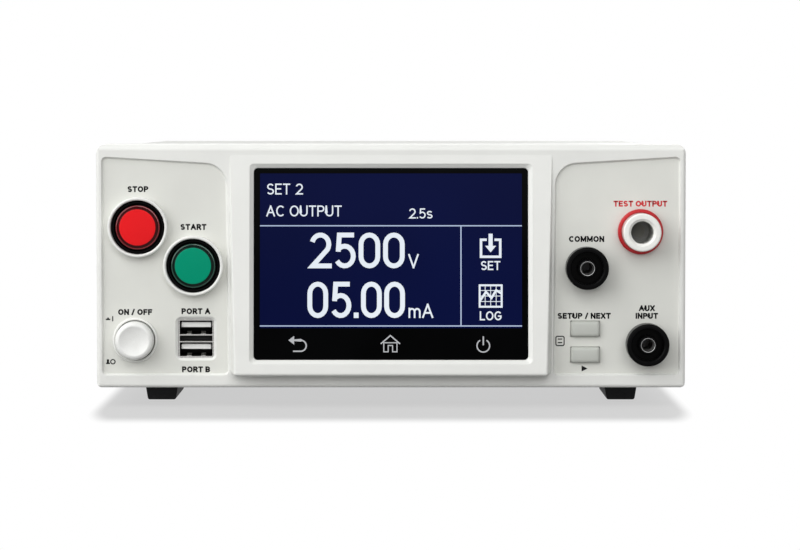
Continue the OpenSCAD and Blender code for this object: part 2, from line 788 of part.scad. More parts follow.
// Test-lead jack: open throat round an insulating core, a metal socket in the core, nut behind
module lead_jack() {
    lip = 0.8;
    lathe() polygon(concat(
        [[throat_d / 2, throat_floor], [throat_d / 2, jack_front + 0.5], [throat_d / 2 + 0.5, jack_front]],
        arc([jack_d / 2 - lip, jack_front + lip], lip, -90, 0),
        [[jack_d / 2, panel_recess], [neck_d / 2, panel_recess], [neck_d / 2, jack_back],
            [socket_od / 2 + fit, jack_back], [socket_od / 2 + fit, core_front],
            [core_d / 2 - 0.3, core_front], [core_d / 2, core_front + 0.3], [core_d / 2, throat_floor]]));
}
module lead_socket() {
    front = core_front + 0.3;
    difference() {
        rod(socket_od, front, jack_back + 2);
        rod(socket_d, front - past, socket_floor);
    }
    rod(socket_od / 2, jack_back + 2, bezel_d - 2);
}
module lead_nut() hex_nut(jack_nut_af, neck_d + 2 * fit, fascia_t, fascia_t + jack_nut_t);
module return_jack() place() color([0.07, 0.07, 0.07]) at(return_x, return_z) lead_jack();
module return_socket() place() color([0.8, 0.7, 0.4]) at(return_x, return_z) lead_socket();
module return_nut() place() color([0.7, 0.7, 0.72]) at(return_x, return_z) lead_nut();
module cont_jack() place() color([0.07, 0.07, 0.07]) at(cont_x, cont_z) lead_jack();
module cont_socket() place() color([0.8, 0.7, 0.4]) at(cont_x, cont_z) lead_socket();
module cont_nut() place() color([0.7, 0.7, 0.72]) at(cont_x, cont_z) lead_nut();

// Stacked pair of USB ports: metal shell with two mouths, and a tongue in each
module each_usb_port() for (s = [-1, 1]) translate([0, 0, s * (usb_port_h + usb_web) / 2]) children();
module usb_shell() place() color([0.75, 0.75, 0.77]) at(usb_x, usb_z) difference() {
    slab(usb_w, usb_h, usb_y, usb_y + usb_l);
    each_usb_port() slab(usb_port_w, usb_port_h, usb_y - past, usb_y + usb_l - usb_back);
    slab(usb_port_w, usb_web - 2 * usb_wall, usb_y - past, usb_y + usb_slot);
}
module usb_tongues() place() color([0.93, 0.93, 0.92]) at(usb_x, usb_z) each_usb_port()
    translate([0, 0, (usb_port_h - tongue_t) / 2 - tongue_high])
        slab(usb_port_w - 2 * tongue_side, tongue_t, usb_y + tongue_sink, usb_y + usb_l - usb_back);

// Upright wall that fills the cover from the floor up
module inner_wall(y0, y1) along_y(y0, y1) {
    translate([-inner_w / 2, floor_z]) square([inner_w, case_h / 2]);
    intersection() {
        case_outline(bezel_lip + cover_t + fit);
        translate([-half_w, case_h / 2]) square([case_w, case_h / 2]);
    }
}
// Chassis: floor, front bulkhead and low side flanges
module side_screw_holes(d) for (y = screw_ys) translate([-case_w, y, screw_z])
    rotate([0, 90, 0]) cylinder(d = d, h = 2 * case_w);
module base_chassis() place() color([0.7, 0.71, 0.72]) difference() {
    union() {
        translate([-inner_w / 2, bezel_d, floor_z]) cube([inner_w, rear_y - bezel_d, chassis_t]);
        inner_wall(bezel_d, bezel_d + chassis_t);
        both_sides() translate([inner_w / 2 - chassis_t, bezel_d, floor_z])
            cube([chassis_t, rear_y - bezel_d, flange_h]);
    }
    at(0, case_h / 2) slab(block_w * 0.7, case_h * 0.4, bezel_d - past, bezel_d + chassis_t + past);
    side_screw_holes(screw_d + 4 * fit);
}
// Inverted channel cover with side vents
module vent_slots() for (i = [0:vent_n - 1]) translate([-case_w, vent_y - i * vent_pitch, vent_z])
    rotate([0, 90, 0]) linear_extrude(2 * case_w) {
        square([vent_h - vent_w, vent_w], center = true);
        for (s = [-1, 1]) translate([s * (vent_h - vent_w) / 2, 0]) circle(vent_w / 2, $fn = 24);
    }
module top_cover() place() color([0.8, 0.81, 0.79]) difference() {
    along_y(bezel_d, case_d) case_outline(bezel_lip);
    along_y(bezel_d - past, case_d + past) case_outline(bezel_lip + cover_t);
    translate([-inner_w / 2 - fit, bezel_d - past, -past])
        cube([inner_w + 2 * fit, case_d, case_h / 2]);
    vent_slots();
    side_screw_holes(screw_d + 4 * fit);
}
// Screw with a bevelled head and a cross recess; the head stands on z = 0
module cross_screw(head_d, head_t, d, shank) {
    difference() {
        union() {
            cylinder(d = head_d, h = head_t - screw_head_edge);
            translate([0, 0, head_t - screw_head_edge])
                cylinder(d1 = head_d, d2 = head_d - 2 * screw_head_edge, h = screw_head_edge);
        }
        for (a = [0, 90]) rotate(a) translate([-cross_w / 2, -cross_slot_w / 2, head_t - cross_deep])
            cube([cross_w, cross_slot_w, cross_deep + past]);
    }
    translate([0, 0, -shank]) cylinder(d = d, h = shank);
}
module cover_screws() place() color([0.75, 0.76, 0.78]) both_sides() for (y = screw_ys)
    translate([cover_w / 2, y, screw_z]) rotate([0, 90, 0])
        cross_screw(screw_head_d, bezel_lip, screw_d, cover_t + chassis_t + screw_tail);

// Rear panel with the openings of what it carries
module fan_corners() for (sx = [-1, 1], sz = [-1, 1])
    at(fan_x + sx * fan_pitch / 2, fan_z + sz * fan_pitch / 2) children();
module rear_panel() place() color([0.72, 0.73, 0.74]) difference() {
    inner_wall(rear_y, case_d);
    at(fan_x, fan_z) rod(fan_bore_d, rear_y - past, case_d + past);
    fan_corners() rod(fan_screw_d + 4 * fit, rear_y - past, case_d + past);
    at(-inlet_x, inlet_z) slab(inlet_w + 2 * fit, inlet_h + 2 * fit, rear_y - past, case_d + past);
    for (p = [[signal_w, signal_z], [serial_w, serial_z]]) at(-port_x, p.y)
        slab(port_mouth(p.x) + 2 * fit, port_h - port_edge, rear_y - past, case_d + past);
    at(-port_x, data_z) slab(data_w + 2 * fit, data_h + 2 * fit, rear_y - past, case_d + past);
    at(-ground_x, ground_z) rod(stud_neck_d + 2 * fit, rear_y - past, case_d + past);
}

// Axial fan: square frame with a hub plate on struts, bladed rotor on its shaft, wire guard outside
module fan_frame() place() color([0.1, 0.1, 0.11]) at(fan_x, fan_z) difference() {
    union() {
        difference() {
            slab(fan_w, fan_w, fan_y, rear_y);
            rod(fan_bore_d, fan_y - past, rear_y + past);
        }
        rod(fan_hub_d, fan_y, fan_y + fan_plate_t);
        for (a = [0:3]) rotate([0, a * 90 + 45, 0])
            translate([-fan_strut_w / 2, fan_y, 0]) cube([fan_strut_w, fan_plate_t, fan_bore_d / 2 + past]);
    }
    rod(fan_shaft_d + 2 * play, fan_y - past, rear_y);
    translate([-fan_x, 0, -fan_z]) fan_corners() rod(fan_screw_d + 4 * fit, fan_y - past, rear_y + past);
}
module fan_rotor() place() color([0.14, 0.14, 0.15]) at(fan_x, fan_z) {
    front = fan_y + fan_plate_t + run;
    back = rear_y - fan_rotor_back;
    rod(fan_hub_d, front, back);
    rod(fan_shaft_d, fan_y, front + past);
    intersection() {
        rod(fan_bore_d - 4 * run, front, back);
        for (i = [0:fan_blades - 1]) rotate([0, i * 360 / fan_blades, 0])
            translate([0, (front + back) / 2, 0]) rotate([0, 0, fan_blade_angle])
                translate([-fan_blade_t / 2, -fan_d, fan_hub_d / 2 - fan_blade_root])
                    cube([fan_blade_t, 2 * fan_d, fan_bore_d]);
    }
}
module guard_ring(d) lathe() translate([d / 2, case_d + guard_wire_d / 2]) circle(d = guard_wire_d, $fn = 16);
module finger_guard() place() color([0.78, 0.79, 0.8]) {
    inner_r = fan_bore_d * guard_rings[0] / 2;
    at(fan_x, fan_z) for (share = guard_rings) guard_ring(fan_bore_d * share);
    at(fan_x, fan_z) for (a = [45, 135, 225, 315]) rotate([0, a, 0])
        translate([0, case_d + guard_wire_d / 2, inner_r])
            cylinder(d = guard_wire_d, h = fan_pitch / sqrt(2) - inner_r - guard_end, $fn = 16);
    fan_corners() tube(guard_eye_d, fan_screw_d + 4 * fit, case_d, case_d + guard_wire_d);
}
module fan_screws() place() color([0.75, 0.76, 0.78]) fan_corners()
    translate([0, case_d + guard_wire_d, 0]) rotate([-90, 0, 0]) cross_screw(fan_screw_head_d,
        fan_screw_head_t, fan_screw_d, case_d + guard_wire_d - rear_y + fan_screw_tail);

// Mains inlet with its recessed mouth and blades, and the fuse drawer above them
module inlet_mouth() polygon(rounded(
    [[-inlet_mouth_w / 2, -inlet_mouth_h / 2], [inlet_mouth_w / 2, -inlet_mouth_h / 2],
        [inlet_mouth_w / 2, inlet_mouth_h / 2 - inlet_mouth_cut],
        [inlet_mouth_w / 2 - inlet_mouth_cut, inlet_mouth_h / 2],
        [inlet_mouth_cut - inlet_mouth_w / 2, inlet_mouth_h / 2],
        [-inlet_mouth_w / 2, inlet_mouth_h / 2 - inlet_mouth_cut]],
    [2, 2, 1, 1, 1, 1], 4));
module mains_inlet() place() color([0.09, 0.09, 0.1]) difference() {
    union() {
        at(-inlet_x, inlet_z) slab(inlet_w, inlet_h, case_d - inlet_d, case_d);
        at(-inlet_x, inlet_z) along_y(case_d, inlet_y)
            rounded_rect(inlet_w + 2 * flange_rim, inlet_h + 2 * flange_rim, inlet_flange_r);
    }
    at(-inlet_x, inlet_mouth_z) along_y(inlet_mouth_y, inlet_y + past) inlet_mouth();
    at(-inlet_x, drawer_z)
        slab(drawer_w + 2 * run, drawer_h + 2 * run, inlet_y - drawer_l - run, inlet_y + past);
}
module inlet_pins() place() color([0.82, 0.82, 0.84]) {
    for (p = [[-pin_pitch, -pin_high], [pin_pitch, -pin_high], [0, pin_high]])
        at(-inlet_x + p.x, inlet_mouth_z + p.y) slab(pin_t, pin_w, inlet_mouth_y, inlet_mouth_y + pin_l);
}
module fuse_drawer() place() color([0.13, 0.13, 0.14]) at(-inlet_x, drawer_z) difference() {
    union() {
        slab(drawer_w, drawer_h, inlet_y - drawer_l, inlet_y);
        slab(drawer_w - 2 * drawer_grip_side, drawer_grip_h, inlet_y, inlet_y + drawer_grip_out);
    }
    translate([0, fuse_y, (drawer_h - fuse_d) / 2])
        cube([fuse_d + 2 * fuse_room, fuse_l + 2 * fit, fuse_d + 4 * fuse_room], center = true);
}
module fuse() place() color([0.85, 0.86, 0.88])
    at(-inlet_x, drawer_z + (drawer_h - fuse_d) / 2 - 2 * fuse_room)
        rod(fuse_d, fuse_y - fuse_l / 2, fuse_y + fuse_l / 2);

// Signal ports: flanged metal shells round black inserts, hex posts on the flanges, and a square data port
function port_mouth(w) = w - port_ear;
module port_outline(w, grow) {
    half = port_mouth(w) / 2 + grow;
    tall = port_h / 2 - port_edge + grow;
    polygon(rounded([[port_lean - half, -tall], [half - port_lean, -tall], [half, tall], [-half, tall]],
        [port_r, port_r, port_r, port_r], 4));
}
module port_shell(w) {
    difference() {
        union() {
            along_y(case_d, case_d + port_flange_t) rounded_rect(w, port_h, port_flange_r);
            along_y(case_d, case_d + port_out) port_outline(w, 0);
        }
        along_y(case_d - past, case_d + port_out + past) port_outline(w, -port_wall);
    }
    for (s = [-1, 1]) translate([s * (w / 2 - port_ear / 4), 0, 0])
        hex_nut(post_af, post_bore_d, case_d + port_flange_t, case_d + port_out);
}
module signal_port() place() color([0.78, 0.78, 0.8]) at(-port_x, signal_z) port_shell(signal_w);
module serial_port() place() color([0.78, 0.78, 0.8]) at(-port_x, serial_z) port_shell(serial_w);
module port_insert(w, contacts) difference() {
    along_y(rear_y - port_behind, case_d + port_out - port_wall) port_outline(w, -port_wall - fit);
    upper = ceil(contacts / 2);
    for (i = [0:contacts - 1]) {
        low = i >= upper ? 1 : 0;
        column = low ? i - upper + 0.5 : i;
        at((column - (upper - 1) / 2) * contact_pitch, (0.5 - low) * contact_row)
            rod(contact_d, case_d, case_d + port_out, $fn = 16);
    }
}
module port_inserts() place() color([0.08, 0.08, 0.09]) {
    at(-port_x, signal_z) port_insert(signal_w, signal_contacts);
    at(-port_x, serial_z) port_insert(serial_w, serial_contacts);
}
module data_port() place() color([0.78, 0.78, 0.8]) at(-port_x, data_z) {
    difference() {
        slab(data_w, data_h, rear_y - data_behind, case_d + data_out);
        slab(data_w - 2 * data_wall, data_h - 2 * data_wall, case_d - data_deep, case_d + data_out + past);
    }
    slab(data_block_w, data_block_h, case_d - data_deep - fit, case_d + data_out - data_block_sink);
}

// Ground terminal: threaded stud through the rear panel with a nut
module ground_stud() place() color([0.85, 0.75, 0.4]) at(-ground_x, ground_z) {
    rod(stud_d, case_d + ground_nut_t, case_d + stud_out);
    rod(stud_neck_d, rear_y, case_d + ground_nut_t);
    rod(stud_head_d, rear_y - stud_head_t, rear_y);
}
module ground_nut() place() color([0.85, 0.75, 0.4]) at(-ground_x, ground_z)
    hex_nut(ground_nut_af, stud_neck_d + 2 * fit, case_d, case_d + ground_nut_t);

// Feet: tapered blocks under the floor. The front pair holds the tilt legs in open pockets
module foot_block(y0) along_y(y0, y0 + foot_l) polygon(rounded(
    [[-foot_low_w / 2, -foot_h], [foot_low_w / 2, -foot_h],
        [foot_top_w / 2, floor_z], [-foot_top_w / 2, floor_z]],
    [foot_low_r, foot_low_r, foot_top_r, foot_top_r], 3));
module leg_pin(d, w) translate([-w / 2, leg_pin_y, leg_pin_z]) rotate([0, 90, 0]) cylinder(d = d, h = w);
module front_foot() difference() {
    foot_block(foot_front);
    translate([-leg_w / 2 - run, leg_pin_y - leg_t / 2 - 3 * run, -foot_h - past])
        cube([leg_w + 2 * run, leg_l + leg_t + 6 * run, past + leg_floor + leg_t + run]);
    leg_pin(leg_pin_d + 2 * play, leg_w + 2 * leg_ear + 2 * fit);
}
module tilt_leg() {
    leg_pin(leg_t, leg_w);
    leg_pin(leg_pin_d, leg_w + 2 * leg_ear);
    translate([-leg_w / 2, leg_pin_y, leg_pin_z - leg_t / 2]) cube([leg_w, leg_l, leg_t]);
}
module front_feet() place() color([0.07, 0.07, 0.08]) for (s = [-1, 1]) at(s * foot_x, 0) front_foot();
module rear_feet() place() color([0.07, 0.07, 0.08])
    for (s = [-1, 1]) at(s * foot_x, 0) foot_block(case_d - foot_rear - foot_l);
module left_tilt_leg() place() color([0.1, 0.1, 0.11]) at(-foot_x, 0) tilt_leg();
module right_tilt_leg() place() color([0.1, 0.1, 0.11]) at(foot_x, 0) tilt_leg();

// Inside: high-voltage transformer, main board on standoffs, heat sink, capacitors and power supply
module core_window(x) translate([x - limb / 2, core_y - past, deck_z + limb])
    cube([limb, core_stack + 2 * past, core_h - 2 * limb]);
module transformer_core() place() color([0.4, 0.38, 0.36]) difference() {
    translate([core_x - core_w / 2, core_y, deck_z]) cube([core_w, core_stack, core_h]);
    for (s = [-1, 1]) core_window(core_x + s * 1.5 * limb);
}
module transformer_coil() place() color([0.75, 0.5, 0.2])
    translate([core_x, core_y + core_stack / 2, deck_z + limb + fit]) difference() {
        linear_extrude(core_h - 2 * limb - 2 * fit)
            rounded_rect(4 * limb - 2 * fit, core_stack + 2 * limb - 2 * fit, limb - coil_gap);
        translate([-limb - fit, -core_stack / 2 - fit, -past])
            cube([2 * limb + 2 * fit, core_stack + 2 * fit, core_h]);
    }
module main_board() place() color([0.1, 0.35, 0.2])
    translate([board_x0, board_y0, board_z]) cube([board_x1 - board_x0, board_y1 - board_y0, board_t]);
module board_standoffs() place() color([0.75, 0.75, 0.77])
    for (x = [board_x0 + standoff_in, board_x1 - standoff_in],
        y = [board_y0 + standoff_in, board_y1 - standoff_in])
        translate([x, y, deck_z]) cylinder(d = standoff_d, h = standoff_h);
module heat_sink() place() color([0.6, 0.61, 0.63])
    translate([fan_x - sink_w / 2, board_y1 - sink_l - sink_gap, board_z + board_t]) {
        cube([sink_w, sink_l, sink_base_t]);
        for (i = [0:sink_fins - 1])
            translate([i * (sink_w - sink_fin_t) / (sink_fins - 1), 0, 0]) cube([sink_fin_t, sink_l, sink_h]);
    }
module capacitors() place() color([0.15, 0.2, 0.35]) for (i = [0:2])
    translate([board_x0 + can_in + i * can_pitch, board_y0 + can_in, board_z + board_t])
        cylinder(d = can_d, h = can_h);
module power_supply() place() color([0.66, 0.67, 0.69])
    translate([supply_x, supply_y, deck_z]) difference() {
        cube([supply_w, supply_l, supply_h]);
        for (i = [0:7], j = [0:2])
            translate([supply_hole_in.x + j * supply_hole_pitch.x, supply_hole_in.y + i * supply_hole_pitch.y,
                supply_h - supply_hole_depth])
                cylinder(d = supply_hole_d, h = supply_hole_depth + past, $fn = 24);
    }

front_bezel();
display_glass();
lcd_module();
display_board();
reset_collar();
reset_cap();
reset_switch();
test_collar();
test_cap();
test_switch();
power_cap();
power_switch();
upper_key();
lower_key();
key_board();
hv_ring();
hv_insulator();
hv_contact();
hv_nut();
return_jack();
return_socket();
return_nut();
cont_jack();
cont_socket();
cont_nut();
usb_shell();
usb_tongues();
base_chassis();
top_cover();
rear_panel();
front_feet();
rear_feet();
left_tilt_leg();
right_tilt_leg();
fan_frame();
fan_rotor();
finger_guard();
mains_inlet();
inlet_pins();
fuse_drawer();
fuse();
signal_port();
serial_port();
port_inserts();
data_port();
ground_stud();
ground_nut();
main_board();
board_standoffs();
heat_sink();
capacitors();
transformer_core();
transformer_coil();
power_supply();
cover_screws();
fan_screws();
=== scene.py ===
"""Looks of a bench hipot tester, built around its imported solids.

Everything is in metres in the part's own frame: +X to the right, the front faces -Y, +Z up. Sizes are
written in millimetres and turned into metres by MM. Places come from the boxes of the nodes.
"""
import math

import bmesh
import bpy
from mathutils import Matrix, Vector


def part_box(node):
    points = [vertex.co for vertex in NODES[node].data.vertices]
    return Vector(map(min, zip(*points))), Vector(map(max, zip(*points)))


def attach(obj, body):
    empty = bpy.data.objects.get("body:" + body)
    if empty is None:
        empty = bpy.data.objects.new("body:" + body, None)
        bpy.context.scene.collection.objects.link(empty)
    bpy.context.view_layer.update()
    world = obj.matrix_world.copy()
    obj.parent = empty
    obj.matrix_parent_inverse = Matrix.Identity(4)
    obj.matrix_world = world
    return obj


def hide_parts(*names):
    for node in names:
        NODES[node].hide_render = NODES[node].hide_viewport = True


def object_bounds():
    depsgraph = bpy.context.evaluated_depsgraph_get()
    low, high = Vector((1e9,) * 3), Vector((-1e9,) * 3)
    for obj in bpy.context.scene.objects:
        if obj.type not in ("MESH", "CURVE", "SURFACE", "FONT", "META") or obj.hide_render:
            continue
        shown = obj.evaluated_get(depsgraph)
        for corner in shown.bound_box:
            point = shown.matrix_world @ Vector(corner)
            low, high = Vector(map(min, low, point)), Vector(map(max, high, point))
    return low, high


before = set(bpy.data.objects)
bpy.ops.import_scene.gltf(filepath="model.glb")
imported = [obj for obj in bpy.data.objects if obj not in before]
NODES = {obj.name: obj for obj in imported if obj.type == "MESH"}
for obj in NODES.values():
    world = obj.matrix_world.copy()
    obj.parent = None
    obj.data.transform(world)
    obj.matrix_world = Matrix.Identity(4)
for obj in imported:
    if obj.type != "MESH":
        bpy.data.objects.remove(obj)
cad_low, cad_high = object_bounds()
MM = 0.001

# Thickness of a printed layer, and of each of the two lit layers on the display glass
PRINT_T = 0.03 * MM
SCREEN_T = 0.04 * MM
# Faces within this distance of a place count as lying there
CLOSE = 0.05 * MM

# The bezel's skirt is this deep, and its control panels lie this far behind the fascia
BEZEL_D = 24 * MM
PANEL_RECESS = 1.1 * MM
bezel_low, bezel_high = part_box("front_bezel")
FACE_Y = bezel_high.y - BEZEL_D
PANEL_Y = FACE_Y + PANEL_RECESS
BASE_Z = bezel_low.z


def middle(node):
    """Middle of a node's box."""
    low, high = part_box(node)
    return (low + high) / 2


# Materials

# Sizes of the colour wander and of the relief, their strengths, and the sway of the roughness
PLASTIC_WANDER = 18 * MM
PLASTIC_SWAY = 0.05
METAL_WANDER = 9 * MM
METAL_MOTTLE = 0.05
METAL_GRAIN = 0.4 * MM
METAL_RELIEF = 0.006 * MM
METAL_STRENGTH = 0.3
METAL_EDGE = 0.1 * MM
METAL_SMOOTHEST = 0.75
METAL_ROUGHEST = 1.3
PAINT_WANDER = 40 * MM
PAINT_MOTTLE = 0.02
PAINT_PEEL = 0.7 * MM
PAINT_RELIEF = 0.03 * MM
PAINT_STRENGTH = 0.5
PAINT_EDGE = 0.3 * MM
PAINT_SWAY = 0.06
LIT_WANDER = 45 * MM
EDGE_SAMPLES = 6
# Most of a noise lies between these values
NOISE_LOW = 0.3
NOISE_HIGH = 0.7
# The display reflects next to nothing
DISPLAY_GLOSS = 0.012


def shader(name, color, roughness, metallic=0.0, **sockets):
    """A new material with the given constants, its nodes and its main shader."""
    made = bpy.data.materials.new(name)
    made.use_nodes = True
    tree = made.node_tree
    main = tree.nodes["Principled BSDF"]
    main.inputs["Base Color"].default_value = (*color, 1)
    main.inputs["Roughness"].default_value = roughness
    main.inputs["Metallic"].default_value = metallic
    for socket, value in sockets.items():
        main.inputs[socket.replace("_", " ")].default_value = value
    return made, tree, main


def object_coords(tree, stretch=(1, 1, 1)):
    """Object coordinates, stretched for grain that runs one way."""
    coords = tree.nodes.new("ShaderNodeTexCoord")
    mapping = tree.nodes.new("ShaderNodeMapping")
    mapping.inputs["Scale"].default_value = stretch
    tree.links.new(coords.outputs["Object"], mapping.inputs["Vector"])
    return mapping.outputs["Vector"]


def noise(tree, vector, size, detail):
    """Noise with features of a size in metres."""
    made = tree.nodes.new("ShaderNodeTexNoise")
    made.inputs["Scale"].default_value = 1 / size
    made.inputs["Detail"].default_value = detail
    tree.links.new(vector, made.inputs["Vector"])
    return made.outputs["Fac"]


def spread(tree, value, low, high):
    """Maps the middle of a noise onto a range."""
    made = tree.nodes.new("ShaderNodeMapRange")
    made.inputs["From Min"].default_value = NOISE_LOW
    made.inputs["From Max"].default_value = NOISE_HIGH
    made.inputs["To Min"].default_value = low
    made.inputs["To Max"].default_value = high
    tree.links.new(value, made.inputs["Value"])
    return made.outputs["Result"]


def blended(tree, first, second, share, socket):
    """Sends a mix of two colours to a socket."""
    mix = tree.nodes.new("ShaderNodeMix")
    mix.data_type = "RGBA"
    mix.inputs["A"].default_value = (*first, 1)
    mix.inputs["B"].default_value = (*second, 1)
    tree.links.new(share, mix.inputs["Factor"])
    tree.links.new(mix.outputs["Result"], socket)


def mottled(tree, main, color, value, amount):
    """Base colour that wanders a little darker and lighter."""
    dark = [c * (1 - amount) for c in color]
    light = [min(1.0, c * (1 + amount)) for c in color]
    blended(tree, dark, light, spread(tree, value, 0, 1), main.inputs["Base Color"])


def bumped(tree, main, height, strength, depth, edge=0.0):
    """Fine relief, over edges that are softened by a small radius."""
    bump = tree.nodes.new("ShaderNodeBump")
    bump.inputs["Strength"].default_value = strength
    bump.inputs["Distance"].default_value = depth
    tree.links.new(height, bump.inputs["Height"])
    if edge:
        soft = tree.nodes.new("ShaderNodeBevel")
        soft.samples = EDGE_SAMPLES
        soft.inputs["Radius"].default_value = edge
        tree.links.new(soft.outputs["Normal"], bump.inputs["Normal"])
    tree.links.new(bump.outputs["Normal"], main.inputs["Normal"])


def plastic(name, color, roughness, grain=0.35 * MM, relief=0.012 * MM, strength=0.35, edge=0.25 * MM,
            mottle=0.025, **sockets):
    """Moulded plastic: fine spark-eroded grain, faint colour wander and softened edges."""
    made, tree, main = shader(name, color, roughness, **sockets)
    coords = object_coords(tree)
    mottled(tree, main, color, noise(tree, coords, PLASTIC_WANDER, 3), mottle)
    fine = noise(tree, coords, grain, 3)
    sway = spread(tree, fine, roughness - PLASTIC_SWAY, roughness + PLASTIC_SWAY)
    tree.links.new(sway, main.inputs["Roughness"])
    bumped(tree, main, fine, strength, relief, edge)
    return made


def metal(name, color, roughness, brush=(1, 1, 1)):
    """Bare or plated metal with a brushed or tumbled grain."""
    made, tree, main = shader(name, color, roughness, metallic=1.0)
    coords = object_coords(tree, brush)
    fine = noise(tree, coords, METAL_GRAIN, 4)
    mottled(tree, main, color, noise(tree, coords, METAL_WANDER, 3), METAL_MOTTLE)
    sway = spread(tree, fine, roughness * METAL_SMOOTHEST, roughness * METAL_ROUGHEST)
    tree.links.new(sway, main.inputs["Roughness"])
    bumped(tree, main, fine, METAL_STRENGTH, METAL_RELIEF, METAL_EDGE)
    return made


def paint(name, color, roughness, **sockets):
    """Powder coat with a fine orange-peel texture."""
    made, tree, main = shader(name, color, roughness, **sockets)
    coords = object_coords(tree)
    peel = noise(tree, coords, PAINT_PEEL, 3)
    mottled(tree, main, color, noise(tree, coords, PAINT_WANDER, 3), PAINT_MOTTLE)
    sway = spread(tree, peel, roughness - PAINT_SWAY, roughness + PAINT_SWAY)
    tree.links.new(sway, main.inputs["Roughness"])
    bumped(tree, main, peel, PAINT_STRENGTH, PAINT_RELIEF, PAINT_EDGE)
    return made


def lit(name, color, strength, dim_color):
    """Lit picture layer of the display, which glows almost evenly."""
    made, tree, main = shader(name, (0.002, 0.002, 0.004), 0.12, Specular_IOR_Level=DISPLAY_GLOSS)
    wander = spread(tree, noise(tree, object_coords(tree), LIT_WANDER, 1), 0, 1)
    blended(tree, dim_color, color, wander, main.inputs["Emission Color"])
    main.inputs["Emission Strength"].default_value = strength
    return made


def painted_light_gradient(name, near, far, start, along, reach, roughness):
    """Plastic with painted light and shade: its colour fades over a distance from a point in one direction.
    """
    made, tree, main = shader(name, near, roughness)
    spot = tree.nodes.new("ShaderNodeVectorMath")
    spot.operation = "SUBTRACT"
    spot.inputs[1].default_value = start
    tree.links.new(object_coords(tree), spot.inputs[0])
    gone = tree.nodes.new("ShaderNodeVectorMath")
    gone.operation = "DOT_PRODUCT"
    gone.inputs[1].default_value = along
    tree.links.new(spot.outputs["Vector"], gone.inputs[0])
    share = tree.nodes.new("ShaderNodeMapRange")
    share.inputs["From Max"].default_value = reach
    tree.links.new(gone.outputs["Value"], share.inputs["Value"])
    blended(tree, near, far, share.outputs["Result"], main.inputs["Base Color"])
    return made


# Painted light and shade: the high-voltage jack's bore and the contact at its end are painted pale on the
# side that faces the light and dark on the other
HV_MIDDLE = middle("hv_insulator")
HV_BORE_R = 4.1 * MM
SHADE_WAY = Vector((-1, 0, 0.6)).normalized()
SHADE_START = HV_MIDDLE - SHADE_WAY * HV_BORE_R
IVORY_TONE = (0.87, 0.87, 0.83)
BORE_PAINTED_SHADE = painted_light_gradient("bore_painted_shade", IVORY_TONE, (0.10, 0.11, 0.10), SHADE_START, SHADE_WAY, 2 * HV_BORE_R, 0.3)
CONTACT_PAINTED_SHADE = painted_light_gradient("contact_painted_shade", (0.95, 0.93, 0.84), (0.02, 0.03, 0.02), SHADE_START, SHADE_WAY,
                2 * HV_BORE_R, 0.4)

BEZEL = plastic("bezel_plastic", (0.79, 0.795, 0.765), 0.33, edge=0.3 * MM)
PANEL = plastic("panel_film", (0.71, 0.715, 0.67), 0.45, edge=0.15 * MM)
COVER = paint("cover_paint", (0.70, 0.705, 0.675), 0.58, Specular_IOR_Level=0.25)
BLACK = plastic("black_plastic", (0.006, 0.006, 0.007), 0.34, edge=0.15 * MM, mottle=0.2,
                Specular_IOR_Level=0.2)
JET = plastic("jet_plastic", (0.0018, 0.0018, 0.002), 0.26, edge=0.15 * MM, mottle=0.2,
              Specular_IOR_Level=0.04)
RUBBER = plastic("foot_rubber", (0.011, 0.011, 0.012), 0.62, grain=0.5 * MM, relief=0.03 * MM, mottle=0.25,
                 Specular_IOR_Level=0.2)
RED = plastic("red_cap", (0.82, 0.014, 0.018), 0.3, relief=0.004 * MM, strength=0.15,
              Specular_IOR_Level=0.07)
# Painted shade: a dark copy of the red for the cap's taper
RED_EDGE_SHADE = plastic("red_cap_edge_painted_shade", (0.045, 0.001, 0.002), 0.2, relief=0.004 * MM, strength=0.15,
                   Specular_IOR_Level=0.12)
GREEN = plastic("green_cap", (0.0, 0.275, 0.155), 0.3, relief=0.004 * MM, strength=0.15,
                Specular_IOR_Level=0.07)
# Painted shade: a dark copy of the green for the cap's taper
GREEN_EDGE_SHADE = plastic("green_cap_edge_painted_shade", (0.001, 0.010, 0.007), 0.2, relief=0.004 * MM, strength=0.15,
                     Specular_IOR_Level=0.12)
# Painted highlight, with real gloss: lighter, glossy copies of the red and the green for the caps' lips
RED_LIP_HIGHLIGHT = plastic("red_cap_lip_painted_highlight", (0.22, 0.006, 0.010), 0.14, relief=0.002 * MM, strength=0.1, edge=0)
GREEN_LIP_HIGHLIGHT = plastic("green_cap_lip_painted_highlight", (0.004, 0.060, 0.036), 0.14, relief=0.002 * MM, strength=0.1, edge=0)
WHITE = plastic("white_cap", (0.83, 0.835, 0.81), 0.3, relief=0.005 * MM)
KEY = plastic("key_plastic", (0.52, 0.535, 0.495), 0.38, edge=1.6 * MM)
RED_RING = plastic("red_ring", (0.48, 0.012, 0.017), 0.3, relief=0.005 * MM, Specular_IOR_Level=0.3)
IVORY = plastic("ivory_insulator", IVORY_TONE, 0.22, relief=0.003 * MM, Coat_Weight=0.2)
GLASS = plastic("display_glass", (0.001, 0.0011, 0.0013), 0.09, relief=0.001 * MM, strength=0.05,
                mottle=0.3, Specular_IOR_Level=DISPLAY_GLOSS)
BRASS = metal("brass", (0.78, 0.60, 0.30), 0.25)
# Painted shade: near black for the inside of the USB mouths
MOUTH_PAINTED_SHADE = plastic("mouth_painted_shade", (0.012, 0.012, 0.012), 0.5, Specular_IOR_Level=0.2)
DARK_NICKEL = metal("dark_nickel", (0.27, 0.27, 0.27), 0.23)
